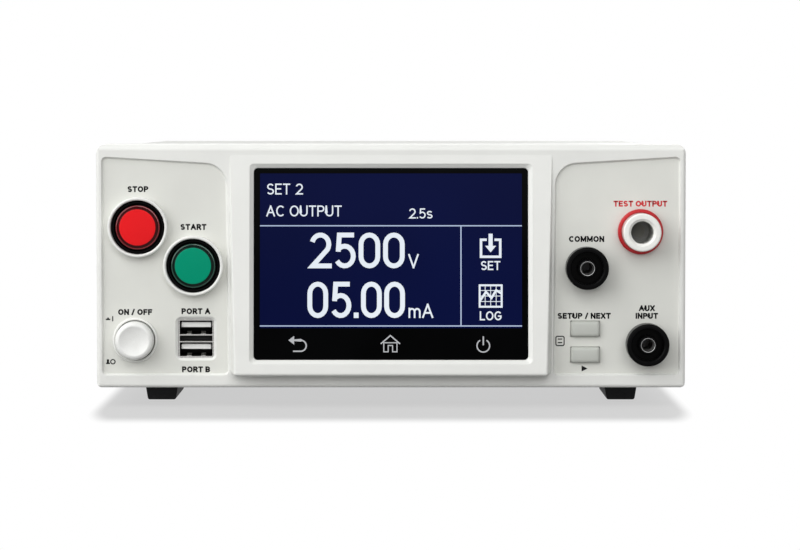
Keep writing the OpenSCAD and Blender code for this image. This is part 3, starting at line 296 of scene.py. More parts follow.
# Painted shade: a darker grey for the bores of the lead sockets
SOCKET_BORE_SHADE = plastic("socket_bore_painted_shade", (0.20, 0.20, 0.195), 0.4)
NICKEL = metal("nickel", (0.46, 0.455, 0.44), 0.27)
STEEL = metal("zinc_steel", (0.60, 0.61, 0.63), 0.4, brush=(1, 1, 0.08))
ALUMINIUM = metal("aluminium", (0.70, 0.71, 0.73), 0.38, brush=(1, 0.06, 1))
BOARD = plastic("solder_mask", (0.012, 0.11, 0.045), 0.35, mottle=0.25)
IRON = metal("core_iron", (0.22, 0.21, 0.20), 0.5, brush=(1, 12, 1))
COPPER = plastic("coil_tape", (0.62, 0.38, 0.10), 0.4, mottle=0.15)
SLEEVE = plastic("capacitor_sleeve", (0.02, 0.03, 0.09), 0.3)
FUSE = plastic("fuse_tube", (0.75, 0.77, 0.78), 0.1)
INK = plastic("black_ink", (0.006, 0.006, 0.0065), 0.5, edge=0, mottle=0.2, Specular_IOR_Level=0.1)
RED_INK = plastic("red_ink", (0.56, 0.02, 0.024), 0.45, edge=0, mottle=0.05)
SCREEN = lit("lit_screen", (0.0008, 0.0036, 0.043), 0.95, (0.0005, 0.0026, 0.034))
DIGITS = lit("lit_digits", (0.86, 0.92, 0.98), 0.95, (0.80, 0.87, 0.95))
RULES = lit("lit_rules", (0.50, 0.60, 0.80), 0.9, (0.45, 0.55, 0.75))
ICONS = lit("dim_icons", (0.55, 0.56, 0.58), 0.9, (0.48, 0.49, 0.51))

NODE_LOOKS = {
    BEZEL: ["front_bezel"],
    COVER: ["top_cover", "rear_panel"],
    GLASS: ["display_glass"],
    BLACK: ["reset_switch", "test_switch", "power_switch", "fan_frame", "fan_rotor", "mains_inlet",
            "fuse_drawer", "port_inserts", "left_tilt_leg", "right_tilt_leg"],
    JET: ["reset_collar", "test_collar", "return_jack", "cont_jack"],
    RUBBER: ["front_feet", "rear_feet"],
    RED: ["reset_cap"],
    GREEN: ["test_cap"],
    WHITE: ["power_cap", "usb_tongues"],
    KEY: ["upper_key", "lower_key"],
    RED_RING: ["hv_ring"],
    IVORY: ["hv_insulator", "hv_nut"],
    # The contact's colour is painted light and shade
    CONTACT_PAINTED_SHADE: ["hv_contact"],
    DARK_NICKEL: ["return_socket", "cont_socket"],
    BRASS: ["ground_stud", "ground_nut"],
    NICKEL: ["return_nut", "cont_nut", "usb_shell", "finger_guard", "inlet_pins", "signal_port",
             "serial_port", "data_port", "board_standoffs", "cover_screws", "fan_screws"],
    STEEL: ["base_chassis", "power_supply", "lcd_module"],
    ALUMINIUM: ["heat_sink"],
    BOARD: ["display_board", "key_board", "main_board"],
    IRON: ["transformer_core"],
    COPPER: ["transformer_coil"],
    SLEEVE: ["capacitors"],
    FUSE: ["fuse"],
}
for look, names in NODE_LOOKS.items():
    for name in names:
        slots = NODES[name].data.materials
        slots.clear()
        slots.append(look)


# Building pieces

CORNER_STEPS = 6
PROFILE_STEPS = 5
TURN_STEPS = 72
TURN_SMOOTH = 35


def add_piece(name, shape, looks, body, smooth=None, replaced=()):
    """Turns a bmesh into a piece that rides on a body. Edges up to the angle smooth are shaded smooth."""
    bmesh.ops.recalc_face_normals(shape, faces=shape.faces)
    mesh = bpy.data.meshes.new(name)
    shape.to_mesh(mesh)
    shape.free()
    for look in looks:
        mesh.materials.append(look)
    if smooth:
        mesh.polygons.foreach_set("use_smooth", [True] * len(mesh.polygons))
        mesh.set_sharp_from_angle(angle=math.radians(smooth))
    piece = bpy.data.objects.new(name, mesh)
    bpy.context.scene.collection.objects.link(piece)
    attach(piece, body)
    if replaced:
        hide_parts(*replaced)


def plane(origin, right, up):
    """Matrix from a flat drawing, in metres with its layers rising along Z, to a surface of the object."""
    out = right.cross(up)
    made = Matrix((right, up, out)).transposed().to_4x4()
    made.translation = origin
    return made


def arc(centre, radius, start, end, steps):
    """Points on an arc, in degrees."""
    angles = [math.radians(start + (end - start) * i / steps) for i in range(steps + 1)]
    return [(centre[0] + radius * math.cos(a), centre[1] + radius * math.sin(a)) for a in angles]


def rounded_box(x, y, w, h, r):
    """Outline of a rounded rectangle about a middle."""
    corners = ((1, 1, 0), (-1, 1, 90), (-1, -1, 180), (1, -1, 270))
    outline = []
    for sx, sy, start in corners:
        outline += arc((x + sx * (w / 2 - r), y + sy * (h / 2 - r)), r, start, start + 90, CORNER_STEPS)
    return outline


def softened(points, radii):
    """A profile with its inner points rounded by the given radii."""
    made = [points[0]]
    for before, here, after, radius in zip(points, points[1:], points[2:], radii):
        p = Vector(here)
        a = (Vector(before) - p).normalized()
        b = (Vector(after) - p).normalized()
        half = a.angle(b) / 2
        reach = radius / math.tan(half)
        middle_point = p + (a + b).normalized() * radius / math.sin(half)
        start = p + a * reach - middle_point
        turn = start.angle_signed(p + b * reach - middle_point)
        for i in range(PROFILE_STEPS + 1):
            step = Matrix.Rotation(-turn * i / PROFILE_STEPS, 2) @ start
            made.append(tuple(middle_point + step))
    return made + [points[-1]]


def turned(node, profile, bands, body):
    """Turned piece that stands for a node whose axis runs along Y.

    The profile's points are (radius, depth behind the node's front), in metres, from axis to axis. Each
    band is (radius, look), and a face takes the look of the first band that reaches it.
    """
    low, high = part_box(node)
    x, z = (low.x + high.x) / 2, (low.z + high.z) / 2
    shape = bmesh.new()
    rings = []
    for radius, depth in profile:
        ring = []
        for i in range(TURN_STEPS if radius else 1):
            a = 2 * math.pi * i / TURN_STEPS
            spot = (x + radius * math.cos(a), low.y + depth, z + radius * math.sin(a))
            ring.append(shape.verts.new(spot))
        rings.append(ring)
    for first, second in zip(rings, rings[1:]):
        for i in range(TURN_STEPS):
            j = (i + 1) % TURN_STEPS
            corners = [first[i % len(first)], first[j % len(first)],
                       second[j % len(second)], second[i % len(second)]]
            shape.faces.new(dict.fromkeys(corners))
    for face in shape.faces:
        spot = face.calc_center_median()
        away = math.hypot(spot.x - x, spot.z - z)
        face.material_index = next(i for i, (radius, look) in enumerate(bands) if away <= radius)
    looks = [look for radius, look in bands]
    add_piece(node + "_turned", shape, looks, body, TURN_SMOOTH, (node,))


def layer(name, outlines, ribbons, on, look, thick):
    """Thin layer on the case: filled outlines, and ribbons given as (points, width, closed)."""
    shape = bmesh.new()
    for outline in outlines:
        shape.faces.new([shape.verts.new((x, y, 0)) for x, y in outline])
    for points, width, closed in ribbons:
        add_ribbon(shape, points, width, closed)
    faces = bmesh.ops.extrude_face_region(shape, geom=shape.faces[:])
    raised = [item for item in faces["geom"] if isinstance(item, bmesh.types.BMVert)]
    bmesh.ops.translate(shape, verts=raised, vec=(0, 0, thick))
    shape.transform(on)
    add_piece(name, shape, [look], "case")


def add_ribbon(shape, points, width, closed):
    """Flat line of a width along points, with mitred corners."""
    path = [Vector(p) for p in points]
    sides = []
    for i, p in enumerate(path):
        before = path[i - 1] if i or closed else None
        after = path[(i + 1) % len(path)] if i + 1 < len(path) or closed else None
        normals = []
        for a, b in ((before, p), (p, after)):
            if a is not None and b is not None:
                d = (b - a).normalized()
                normals.append(Vector((-d.y, d.x)))
        total = normals[0] + normals[-1]
        mitre = total * (width / total.length_squared)
        sides.append([shape.verts.new((*(p + mitre * s), 0)) for s in (1, -1)])
    pairs = list(zip(sides, sides[1:]))
    if closed:
        pairs.append((sides[-1], sides[0]))
    for a, b in pairs:
        shape.faces.new((a[0], b[0], b[1], a[1]))


def bend(x, y, rx, ry, start, end, steps=10):
    """Points on an oval arc, in degrees."""
    return [(x + rx * px, y + ry * py) for px, py in arc((0, 0), 1, start, end, steps)]


def glyphs():
    """Lettering as strokes in a cell one unit high: {character: (width, strokes)}."""
    bowl = bend(0.34, 0.74, 0.26, 0.26, 90, -90)
    belly = bend(0.36, 0.24, 0.26, 0.24, 90, -90)
    stem = [(0, 0), (0, 1)]
    snake = bend(0.3, 0.75, 0.28, 0.25, 25, 270) + bend(0.3, 0.25, 0.3, 0.25, 90, -155)[1:]
    small = [(x * 0.85, y * 0.72) for x, y in snake]
    ring = bend(0.4, 0.5, 0.4, 0.5, 0, 342, 19)
    nought = bend(0.3, 0.7, 0.3, 0.3, 0, 180) + bend(0.3, 0.3, 0.3, 0.3, 180, 360)
    hump = bend(0.21, 0.42, 0.21, 0.24, 180, 0)
    second_hump = [(x + 0.42, y) for x, y in hump]
    return {
        "A": (0.76, [[(0, 0), (0.38, 1)], [(0.38, 1), (0.76, 0)], [(0.14, 0.34), (0.62, 0.34)]]),
        "B": (0.62, [stem, [(0, 1)] + bowl + [(0, 0.48)], [(0.3, 0.48)] + belly + [(0, 0)]]),
        "C": (0.70, [bend(0.4, 0.5, 0.4, 0.5, 45, 315, 16)]),
        "E": (0.54, [[(0.54, 1), (0, 1), (0, 0), (0.54, 0)], [(0, 0.52), (0.48, 0.52)]]),
        "F": (0.52, [[(0.52, 1), (0, 1), (0, 0)], [(0, 0.5), (0.46, 0.5)]]),
        "G": (0.76, [bend(0.4, 0.5, 0.4, 0.5, 40, 330, 16) + [(0.76, 0.46), (0.46, 0.46)]]),
        "I": (0.0, [stem]),
        "L": (0.50, [[(0, 1), (0, 0), (0.5, 0)]]),
        "M": (0.86, [stem, [(0, 1), (0.43, 0.15)], [(0.43, 0.15), (0.86, 1)], [(0.86, 1), (0.86, 0)]]),
        "N": (0.66, [stem, [(0, 1), (0.66, 0)], [(0.66, 0), (0.66, 1)]]),
        "O": (0.80, [ring + ring[:1]]),
        "P": (0.60, [stem, [(0, 1)] + bowl + [(0, 0.48)]]),
        "R": (0.62, [stem, [(0, 1)] + bowl + [(0, 0.48)], [(0.3, 0.48), (0.62, 0)]]),
        "S": (0.60, [snake]),
        "T": (0.62, [[(0, 1), (0.62, 1)], [(0.31, 1), (0.31, 0)]]),
        "U": (0.66, [[(0, 1), (0, 0.33)] + bend(0.33, 0.33, 0.33, 0.33, 180, 360) + [(0.66, 1)]]),
        "V": (0.70, [[(0, 1), (0.35, 0)], [(0.35, 0), (0.7, 1)]]),
        "X": (0.64, [[(0, 0), (0.64, 1)], [(0, 1), (0.64, 0)]]),
        "m": (0.84, [[(0, 0), (0, 0.68)], hump + [(0.42, 0)], second_hump + [(0.84, 0)]]),
        "s": (0.51, [small]),
        "0": (0.60, [nought + nought[:1]]),
        "2": (0.60, [bend(0.3, 0.7, 0.3, 0.3, 165, -35, 12) + [(0.02, 0), (0.62, 0)]]),
        "5": (0.60, [[(0.54, 1), (0.1, 1), (0.06, 0.46)], bend(0.29, 0.32, 0.31, 0.32, 145, -150, 16)]),
        ".": (0.0, [[(0, 0), (0, 0.02)]]),
        "/": (0.36, [[(0, -0.05), (0.36, 1.05)]]),
    }


GLYPHS = glyphs()
# Gaps as shares of the height between the middles of the top and bottom strokes
LETTER_GAP = 0.12
WORD_GAP = 0.45
# A step smaller than this, in millimetres, is none
LEVEL = 0.001


def squared(points, reach):
    """Open stroke in millimetres with its ends lengthened for square corners, unless it ends in a curve."""
    longer = list(points)
    for end, beside in ((0, 1), (-1, -2)):
        step = Vector(points[end]) - Vector(points[beside])
        if len(points) == 2 or min(abs(step.x), abs(step.y)) < LEVEL:
            longer[end] = tuple(Vector(points[end]) + step.normalized() * reach)
    return longer


def words(text, x, y, height, stroke, width=None, align="CENTER", wide=1):
    """Ribbons of a text, in millimetres, fitted to a width where one is given."""
    tall = height - stroke
    pen = 0
    drawn = []
    for character in text:
        if character == " ":
            pen += WORD_GAP * tall
            continue
        cell, strokes = GLYPHS[character]
        drawn += [[(pen + px * tall * wide, py * tall) for px, py in points] for points in strokes]
        pen += cell * tall * wide + stroke + LETTER_GAP * tall
    length = pen - stroke - LETTER_GAP * tall
    stretch = (width - stroke) / length if width else 1
    start = x + stroke / 2 if align == "LEFT" else x - length * stretch / 2
    low = y - tall / 2
    ribbons = []
    for points in drawn:
        closed = points[0] == points[-1]
        placed = [(start + px * stretch, low + py) for px, py in (points[:-1] if closed else points)]
        ribbons.append((placed if closed else squared(placed, stroke / 2), stroke, closed))
    return ribbons


RIGHT = Vector((1, 0, 0))
UP = Vector((0, 0, 1))
FRONT_PANEL = plane(Vector((0, PANEL_Y, BASE_Z)), RIGHT, UP)


# Display


def glass_plane():
    """Drawing plane about the middle of the display glass's front, and the height of that front."""
    mesh = NODES["display_glass"].data
    front = max(mesh.polygons, key=lambda face: -face.normal.y * face.area)
    out = front.normal.copy()
    up = out.cross(RIGHT)
    on_front = [face for face in mesh.polygons if face.normal.dot(out) > 0.999]
    points = [mesh.vertices[i].co for face in on_front for i in face.vertices]
    xs = [p.x for p in points]
    heights = [p.dot(up) for p in points]
    middle_point = (RIGHT * (min(xs) + max(xs)) + up * (min(heights) + max(heights))) / 2
    return plane(middle_point + out * points[0].dot(out), RIGHT, up), max(heights) - min(heights)


GLASS_FACE, GLASS_H = glass_plane()
# Size of the lit area in millimetres, and its distance from the top of the glass
VIEW_W = 95.4
VIEW_H = 56.4
VIEW_EDGE = 1.9
VIEW_Y = GLASS_H / 2 / MM - VIEW_EDGE - VIEW_H / 2
VIEW_CORNER = 0.3
# Screen layout in millimetres from the middle of the glass
RULE_W = 0.42
HEAD_LINE = 13.9
FOOT_LINE = -22.6
SIDE_LINE = 25.5
ICON_X = 36.3
BAR_Y = -29.3
# Height and stroke of the screen's lettering in millimetres
LINE_TEXT = (4.0, 0.5)
TIME_TEXT = (3.7, 0.46)
VOLTS_TEXT = (13.0, 1.75)
CURRENT_TEXT = (13.2, 1.75)
UNIT_TEXT = (5.2, 0.62)
CAPTION_TEXT = (3.3, 0.5)


def lifted(matrix, height):
    """The same drawing plane, moved out of the surface."""
    return matrix @ Matrix.Translation((0, 0, height))


def mm(points):
    """Points given in millimetres."""
    return [(x * MM, y * MM) for x, y in points]


def scaled(ribbons):
    """Ribbons given in millimetres."""
    return [(mm(points), width * MM, closed) for points, width, closed in ribbons]


def screen_lines(name, ribbons, outlines=(), look=DIGITS):
    """Lit lines and filled shapes, placed in millimetres from the middle of the glass."""
    on = lifted(GLASS_FACE, SCREEN_T)
    layer(name, [mm(outline) for outline in outlines], scaled(ribbons), on, look, SCREEN_T)


def screen_words(name, text, x, y, size, width=None, align="LEFT"):
    """Lit lettering of a height and stroke."""
    height, stroke = size
    screen_lines(name, words(text, x, y, height, stroke, width, align))


def make_screen():
    """Lit picture: blue ground, rules, names and values."""
    ground = rounded_box(0, VIEW_Y, VIEW_W, VIEW_H, VIEW_CORNER)
    layer("lit_area", [mm(ground)], [], GLASS_FACE, SCREEN, SCREEN_T)
    half = VIEW_W / 2
    rules = [([(-half, HEAD_LINE), (half, HEAD_LINE)], RULE_W, False),
             ([(-half, FOOT_LINE), (half, FOOT_LINE)], RULE_W, False),
             ([(SIDE_LINE, FOOT_LINE + RULE_W / 2), (SIDE_LINE, HEAD_LINE - RULE_W / 2)], RULE_W, False)]
    screen_lines("screen_rules", rules, (), RULES)
    screen_words("screen_name", "SET 2", -45.2, 27.3, LINE_TEXT)
    screen_words("screen_mode", "AC OUTPUT", -45.4, 19.3, LINE_TEXT)
    screen_words("screen_time", "2.5s", 6.6, 18.4, TIME_TEXT)
    screen_words("screen_volts", "2500", -29.6, 4.9, VOLTS_TEXT, 34.6)
    screen_words("screen_volts_unit", "V", 6.3, 1.0, UNIT_TEXT)
    screen_words("screen_current", "05.00", -30.4, -13.1, CURRENT_TEXT, 35.5)
    screen_words("screen_current_unit", "mA", 6.4, -17.1, UNIT_TEXT, 9.0)
    screen_words("set_caption", "SET", ICON_X, -0.6, CAPTION_TEXT, align="CENTER")
    screen_words("log_caption", "LOG", ICON_X, -18.9, CAPTION_TEXT, align="CENTER")


def make_side_icons():
    """Two picture keys at the right of the screen: a tray with an arrow into it, and a plotted grid."""
    x = ICON_X
    low, high, half = 2.6, 10.4, 3.5
    tray = [(x - 1.4, high - 1.6), (x - half, high - 1.6), (x - half, low), (x + half, low),
            (x + half, high - 1.6), (x + 1.4, high - 1.6)]
    arrow = [(x - 2.0, 6.6), (x, 4.2), (x + 2.0, 6.6), (x + 0.75, 6.6), (x + 0.75, high + 0.6),
             (x - 0.75, high + 0.6), (x - 0.75, 6.6)]
    screen_lines("set_icon", [(tray, 0.9, False)], [arrow])
    low, high, half = -15.6, -7.8, 4.0
    frame_line = [(x - half, low), (x + half, low), (x + half, high), (x - half, high)]
    grid = [(frame_line, 0.7, True)]
    for i in (-1, 0, 1):
        grid.append(([(x + i * 2, low), (x + i * 2, high)], 0.25, False))
        middle_y = (low + high) / 2 + i * 2
        grid.append(([(x - half, middle_y), (x + half, middle_y)], 0.25, False))
    plot = [(x - half, -13.6), (x - 1.7, -10.2), (x + 0.3, -12.4), (x + 2.0, -9.6), (x + half, -10.8)]
    grid.append((plot, 0.8, False))
    screen_lines("log_icon", grid)


def make_bar_icons():
    """Dim signs on the glass below the picture: back, home and power."""
    y = BAR_Y
    x = -34.0
    hook = [(x - 2.0, y + 1.5), (x + 1.2, y + 1.5)] + arc((x + 1.2, y - 0.5), 2.0, 90, -90, 12)
    hook.append((x - 1.6, y - 2.5))
    head = [(x - 3.3, y + 1.5), (x - 1.2, y + 3.1), (x - 1.2, y - 0.1)]
    screen_lines("back_sign", [(hook, 0.5, False)], [head], ICONS)
    x = -0.2
    house = [(x - 2.4, y + 0.6), (x - 2.4, y - 2.7), (x - 0.8, y - 2.7), (x - 0.8, y - 0.4),
             (x + 0.8, y - 0.4), (x + 0.8, y - 2.7), (x + 2.4, y - 2.7), (x + 2.4, y + 0.6)]
    roof = [(x - 3.5, y + 0.2), (x, y + 3.2), (x + 3.5, y + 0.2)]
    screen_lines("home_sign", [(house, 0.36, True), (roof, 0.45, False)], (), ICONS)
    x = 33.6
    ring = arc((x, y - 0.5), 2.3, 120, 420, 24)
    stem = [(x, y - 0.3), (x, y + 2.9)]
    screen_lines("standby_sign", [(ring, 0.45, False), (stem, 0.5, False)], (), ICONS)


make_screen()
make_side_icons()
make_bar_icons()


# Printed labels on the control panels, in millimetres from the bezel's middle and bottom

LABEL_H = 2.15
LABEL_STROKE = 0.56
LABEL_WIDE = 1.15
SIGN_STROKE = 0.4
SWITCH_STROKE = 0.5
SWITCH_OUT = 1.3


def sign(name, ribbons, outlines=(), look=INK):
    """Printed sign of lines and filled shapes."""
    layer(name, [mm(outline) for outline in outlines], scaled(ribbons), FRONT_PANEL, look, PRINT_T)


def label(name, text, node, z, look=INK, aside=0):
    """Printed word over or under the middle of a node, or a little aside from it."""
    x = middle(node).x / MM + aside
    sign(name, words(text, x, z, LABEL_H, LABEL_STROKE, wide=LABEL_WIDE), (), look)


def make_labels():
    """Plain generic words at the controls."""
    label("stop_label", "STOP", "reset_cap", 72.5)
    label("start_label", "START", "test_cap", 58.7)
    label("power_label", "ON / OFF", "power_cap", 27.6)
    label("port_1_label", "PORT A", "usb_shell", 27.9)
    label("port_2_label", "PORT B", "usb_shell", 6.6)
    label("common_label", "COMMON", "return_jack", 54.3)
    label("output_label", "TEST OUTPUT", "hv_ring", 67.2, RED_INK)
    label("aux_label", "AUX", "cont_jack", 29.0)
    label("aux_label_2", "INPUT", "cont_jack", 26.2)
    label("keys_label", "SETUP / NEXT", "upper_key", 26.2, aside=-0.4)


def make_signs():
    """On and off beside the power button, and a page and an arrow at the keys."""
    x = middle("power_cap").x / MM - 8.2
    sign("on_sign", [([(x, 24.2), (x, 26.1)], SIGN_STROKE, False),
                     ([(x - 2.5, 24.9), (x - 0.9, 24.9)], SWITCH_STROKE, False),
                     ([(x - 2.0, 25.3), (x - 1.4, 25.3)], SWITCH_STROKE, False)])
    sign("off_sign", [(arc((x, 9.4), 0.8, 0, 345, 20), SIGN_STROKE, True),
                      ([(x - 2.5, 8.8), (x - 1.1, 8.8)], SWITCH_STROKE, False),
                      ([(x - 2.2, 9.6), (x - 1.4, 9.6)], SWITCH_OUT, False)])
    x = middle("upper_key").x / MM - 9.2
    sign("mode_sign", [(rounded_box(x, 17.0, 3.0, 3.4, 0.6), SIGN_STROKE, True),
                       ([(x - 0.8, 17.7), (x + 0.8, 17.7)], SIGN_STROKE, False),
                       ([(x - 0.8, 16.4), (x + 0.8, 16.4)], SIGN_STROKE, False)])
    x = middle("upper_key").x / MM - 0.3
    sign("next_sign", [], [[(x - 1.0, 5.8), (x + 1.2, 6.9), (x - 1.0, 8.0)]])


make_labels()
make_signs()


# Controls and jacks


def repaint(node, look, chosen):
    """Gives a second look to the faces of a node whose middle and normal are chosen."""
    mesh = NODES[node].data
    mesh.materials.append(look)
    for face in mesh.polygons:
        if chosen(face.center, face.normal):
            face.material_index = len(mesh.materials) - 1


# The control panels carry a film a shade darker than the bezel, from this far out of its middle
PANEL_X = 57 * MM


def on_panel(spot, out):
    """Whether a face of the bezel is the floor of a control panel."""
    return abs(spot.x) > PANEL_X and abs(spot.y - PANEL_Y) < CLOSE and out.y < -0.99


def in_bore(spot, out):
    """Whether a face of the high-voltage insulator lies in its bore."""
    away = Vector((spot.x - HV_MIDDLE.x, spot.z - HV_MIDDLE.z))
    return away.length < HV_BORE_R + CLOSE


repaint("front_bezel", PANEL, on_panel)
# The insulator's bore takes the painted light and shade
repaint("hv_insulator", BORE_PAINTED_SHADE, in_bore)

# Push-button caps: a bright flat lens, a taper in a dark copy of the cap's colour that paints shade on it,
# a glossy lip in a lighter copy that paints a highlight, and its stem
CAP_FLAT_R = 6.6 * MM
CAP_TAPER = 1.0 * MM
CAP_DEEP = 2.6 * MM
STEM_R = 3.5 * MM
LENS_GAP = 0.12 * MM
LIP_W = 0.38 * MM


def make_cap(node, lens, taper_shade, lip):
    """Cap of a push button."""
    low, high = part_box(node)
    radius = (high.x - low.x) / 2
    length = high.y - low.y
    profile = softened(
        [(0, 0), (CAP_FLAT_R - LENS_GAP, 0), (CAP_FLAT_R, LENS_GAP * 2), (CAP_FLAT_R + LENS_GAP, LENS_GAP),
         (radius - LIP_W, CAP_TAPER), (radius, CAP_TAPER + LIP_W / 4), (radius, CAP_DEEP),
         (STEM_R, CAP_DEEP), (STEM_R, length), (0, length)],
        [0.1 * MM, 0.05 * MM, 0.1 * MM, 0.1 * MM, 0.15 * MM, 0.2 * MM, 0.2 * MM, 0.2 * MM])
    # The taper takes the painted shade and the lip the painted highlight
    bands = [(CAP_FLAT_R, lens), (radius - LIP_W, taper_shade), (radius, lip)]
    turned(node, profile, bands, node.replace("_cap", "_button"))


# Small keys: rounded blocks that fill their openings closely
KEY_EDGE = 0.8 * MM
KEY_PROUD_SIDE = 0.2 * MM
KEY_FLANGE = 1.2 * MM
KEY_FLANGE_T = 1.0 * MM
KEY_FLANGE_EDGE = 0.1 * MM
KEY_SHOWN = 4.0 * MM
PLUNGER_HALF = 2.0 * MM
PLUNGER_EDGE = 0.3 * MM
KEY_SMOOTH = 40


def rounded_block(shape, low, high, radius, segments):
    """Adds a box with rounded edges."""
    made = bmesh.ops.create_cube(shape, size=1)["verts"]
    bmesh.ops.scale(shape, vec=high - low, verts=made)
    bmesh.ops.translate(shape, vec=(low + high) / 2, verts=made)
    edges = list({edge for v in made for edge in v.link_edges})
    bmesh.ops.bevel(shape, geom=edges, offset=radius, segments=segments, profile=0.5, affect="EDGES")


def make_key(node):
    """Key block with its flange and plunger behind the panel."""
    low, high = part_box(node)
    x, z = (low.x + high.x) / 2, (low.z + high.z) / 2
    half_w = (high.x - low.x) / 2 - KEY_FLANGE + KEY_PROUD_SIDE
    half_h = (high.z - low.z) / 2 - KEY_FLANGE + KEY_PROUD_SIDE
    flange_y = low.y + KEY_SHOWN
    plunger_y = flange_y + KEY_FLANGE_T
    shape = bmesh.new()
    rounded_block(shape, Vector((x - half_w, low.y, z - half_h)),
                  Vector((x + half_w, flange_y, z + half_h)), KEY_EDGE, 4)
    rounded_block(shape, Vector((low.x, flange_y, low.z)), Vector((high.x, plunger_y, high.z)),
                  KEY_FLANGE_EDGE, 1)
    rounded_block(shape, Vector((x - PLUNGER_HALF, plunger_y, z - PLUNGER_HALF)),
                  Vector((x + PLUNGER_HALF, high.y, z + PLUNGER_HALF)), PLUNGER_EDGE, 2)
    add_piece(node + "_block", shape, [KEY], node + "_body", KEY_SMOOTH, (node,))


# Lead sockets: plated lip with a countersunk mouth, and a bore painted darker as shade
SOCKET_R = 2.7 * MM
SOCKET_BORE_R = 2.0 * MM
SOCKET_DEEP = 19.0 * MM
SOCKET_BODY = 22.0 * MM
SOCKET_SINK = 0.7 * MM
SOCKET_SINK_W = 0.45 * MM
SOCKET_SLACK = 0.01 * MM


def make_socket(node):
    """Metal socket of a lead jack, with a countersunk mouth and a tail."""
    low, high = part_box(node)
    length = high.y - low.y
    profile = softened(
        [(0, SOCKET_DEEP), (SOCKET_BORE_R, SOCKET_DEEP), (SOCKET_BORE_R, SOCKET_SINK),
         (SOCKET_BORE_R + SOCKET_SINK_W, 0), (SOCKET_R, 0), (SOCKET_R, SOCKET_BODY),
         (SOCKET_R / 2, SOCKET_BODY), (SOCKET_R / 2, length), (0, length)],
        [0.2 * MM, 0.3 * MM, 0.2 * MM, 0.1 * MM, 0.2 * MM, 0.2 * MM, 0.2 * MM])
    # The bore is painted darker as shade
    bands = [(SOCKET_BORE_R + SOCKET_SLACK, SOCKET_BORE_SHADE), (SOCKET_R, DARK_NICKEL)]
    turned(node, profile, bands, "case")


make_cap("reset_cap", RED, RED_EDGE_SHADE, RED_LIP_HIGHLIGHT)
make_cap("test_cap", GREEN, GREEN_EDGE_SHADE, GREEN_LIP_HIGHLIGHT)
for key in ("upper_key", "lower_key"):
    make_key(key)
for socket_node in ("return_socket", "cont_socket"):
    make_socket(socket_node)

# USB ports: painted shade, near black, inside their metal lips, with two leaf springs on the floor of each
# mouth
USB_LIP = 0.25 * MM
USB_WALL = 0.4 * MM
USB_WEB = 2.9 * MM
LEAF_W = 1.7 * MM
LEAF_T = 0.2 * MM
LEAF_X = 2.6 * MM
LEAF_NEAR = 0.8 * MM
LEAF_LONG = 4.0 * MM
LEAF_RISE = 0.9 * MM


def make_leaf(shape, x, y, z):
    """Adds a bent strip that rises from the floor of a mouth and turns down again."""
    half = LEAF_W / 2
    line = [(0, 0), (0.2, 0.35), (0.45, 0.95), (0.6, 1), (0.8, 0.8), (1, 0.45)]
    rows = []
    for along, rise in line:
        for level in (0, LEAF_T):
            deep = y + along * LEAF_LONG
            high = z + rise * LEAF_RISE + level
            rows.append([shape.verts.new((x + side * half, deep, high)) for side in (-1, 1)])
    lower, upper = rows[::2], rows[1::2]
    for sheet in (lower, upper):
        for a, b in zip(sheet, sheet[1:]):
            shape.faces.new((a[0], a[1], b[1], b[0]))
    for i in range(len(line) - 1):
        for side in (0, 1):
            shape.faces.new((lower[i][side], lower[i + 1][side], upper[i + 1][side], upper[i][side]))
    for end in (0, -1):
        shape.faces.new((lower[end][0], lower[end][1], upper[end][1], upper[end][0]))


def make_leaves():
    """Leaf springs of both ports, each on the floor of its mouth."""
    low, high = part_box("usb_shell")
    x, z = (low.x + high.x) / 2, (low.z + high.z) / 2
    floors = (low.z + USB_WALL, z + USB_WEB / 2)
    shape = bmesh.new()
    for floor_z in floors:
        for side in (-1, 1):
            make_leaf(shape, x + side * LEAF_X, low.y + LEAF_NEAR, floor_z)
    add_piece("usb_leaves", shape, [NICKEL], "case")


def in_mouth(spot, out):
    """Whether a face of the USB shell lies between its lips and its back."""
    low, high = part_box("usb_shell")
    return low.y + USB_LIP < spot.y < high.y - USB_LIP


# The inside of the metal shell is painted near black as shade
repaint("usb_shell", MOUTH_PAINTED_SHADE, in_mouth)
make_leaves()


# Stage: camera, light, floor and background

CAMERA_AWAY = 1150 * MM
CAMERA_HIGH = 105 * MM
CAMERA_SIDE = 3.3 * MM
AIM_HIGH = 48.2 * MM
LENS = 142
# What the lamps point at, in front and over the middle of the floor
FRONT_AIM = Vector((0, FACE_Y, 50 * MM))
MIDDLE_AIM = Vector((0, 0, 50 * MM))
WORLD_LIGHT = 0.32
FLOOR_W = 6
FLOOR_ROUGHNESS = 0.7
FLOOR_GLOSS = 0.1
# Tone of the floor for the light that it throws back, and for the camera
FLOOR_BOUNCE = 0.22
FLOOR_TONE = 0.20
# Painted shadow: by the object the floor shows a grey patch, where its low tone darkens the lit floor and a
# little glow lightens the real shadow, and it turns white from one distance to another in front of it.
# Beside it, that starts inside its outline and is this many times as steep.
FLOOR_GLOW = 0.57
SHADOW_NEAR = 28 * MM
SHADOW_FAR = 58 * MM
SHADOW_SIDE = 5
SHADOW_INSET = 10 * MM


def aimed(obj, place, target):
    """Puts a lamp or the camera at a place, turned towards a target."""
    obj.location = place
    obj.rotation_euler = (Vector(target) - Vector(place)).to_track_quat("-Z", "Y").to_euler()
    bpy.context.scene.collection.objects.link(obj)


def lamp(name, place, target, size, power):
    """Soft square lamp."""
    data = bpy.data.lights.new(name, "AREA")
    data.shape = "SQUARE"
    data.size = size
    data.energy = power
    aimed(bpy.data.objects.new(name, data), place, target)


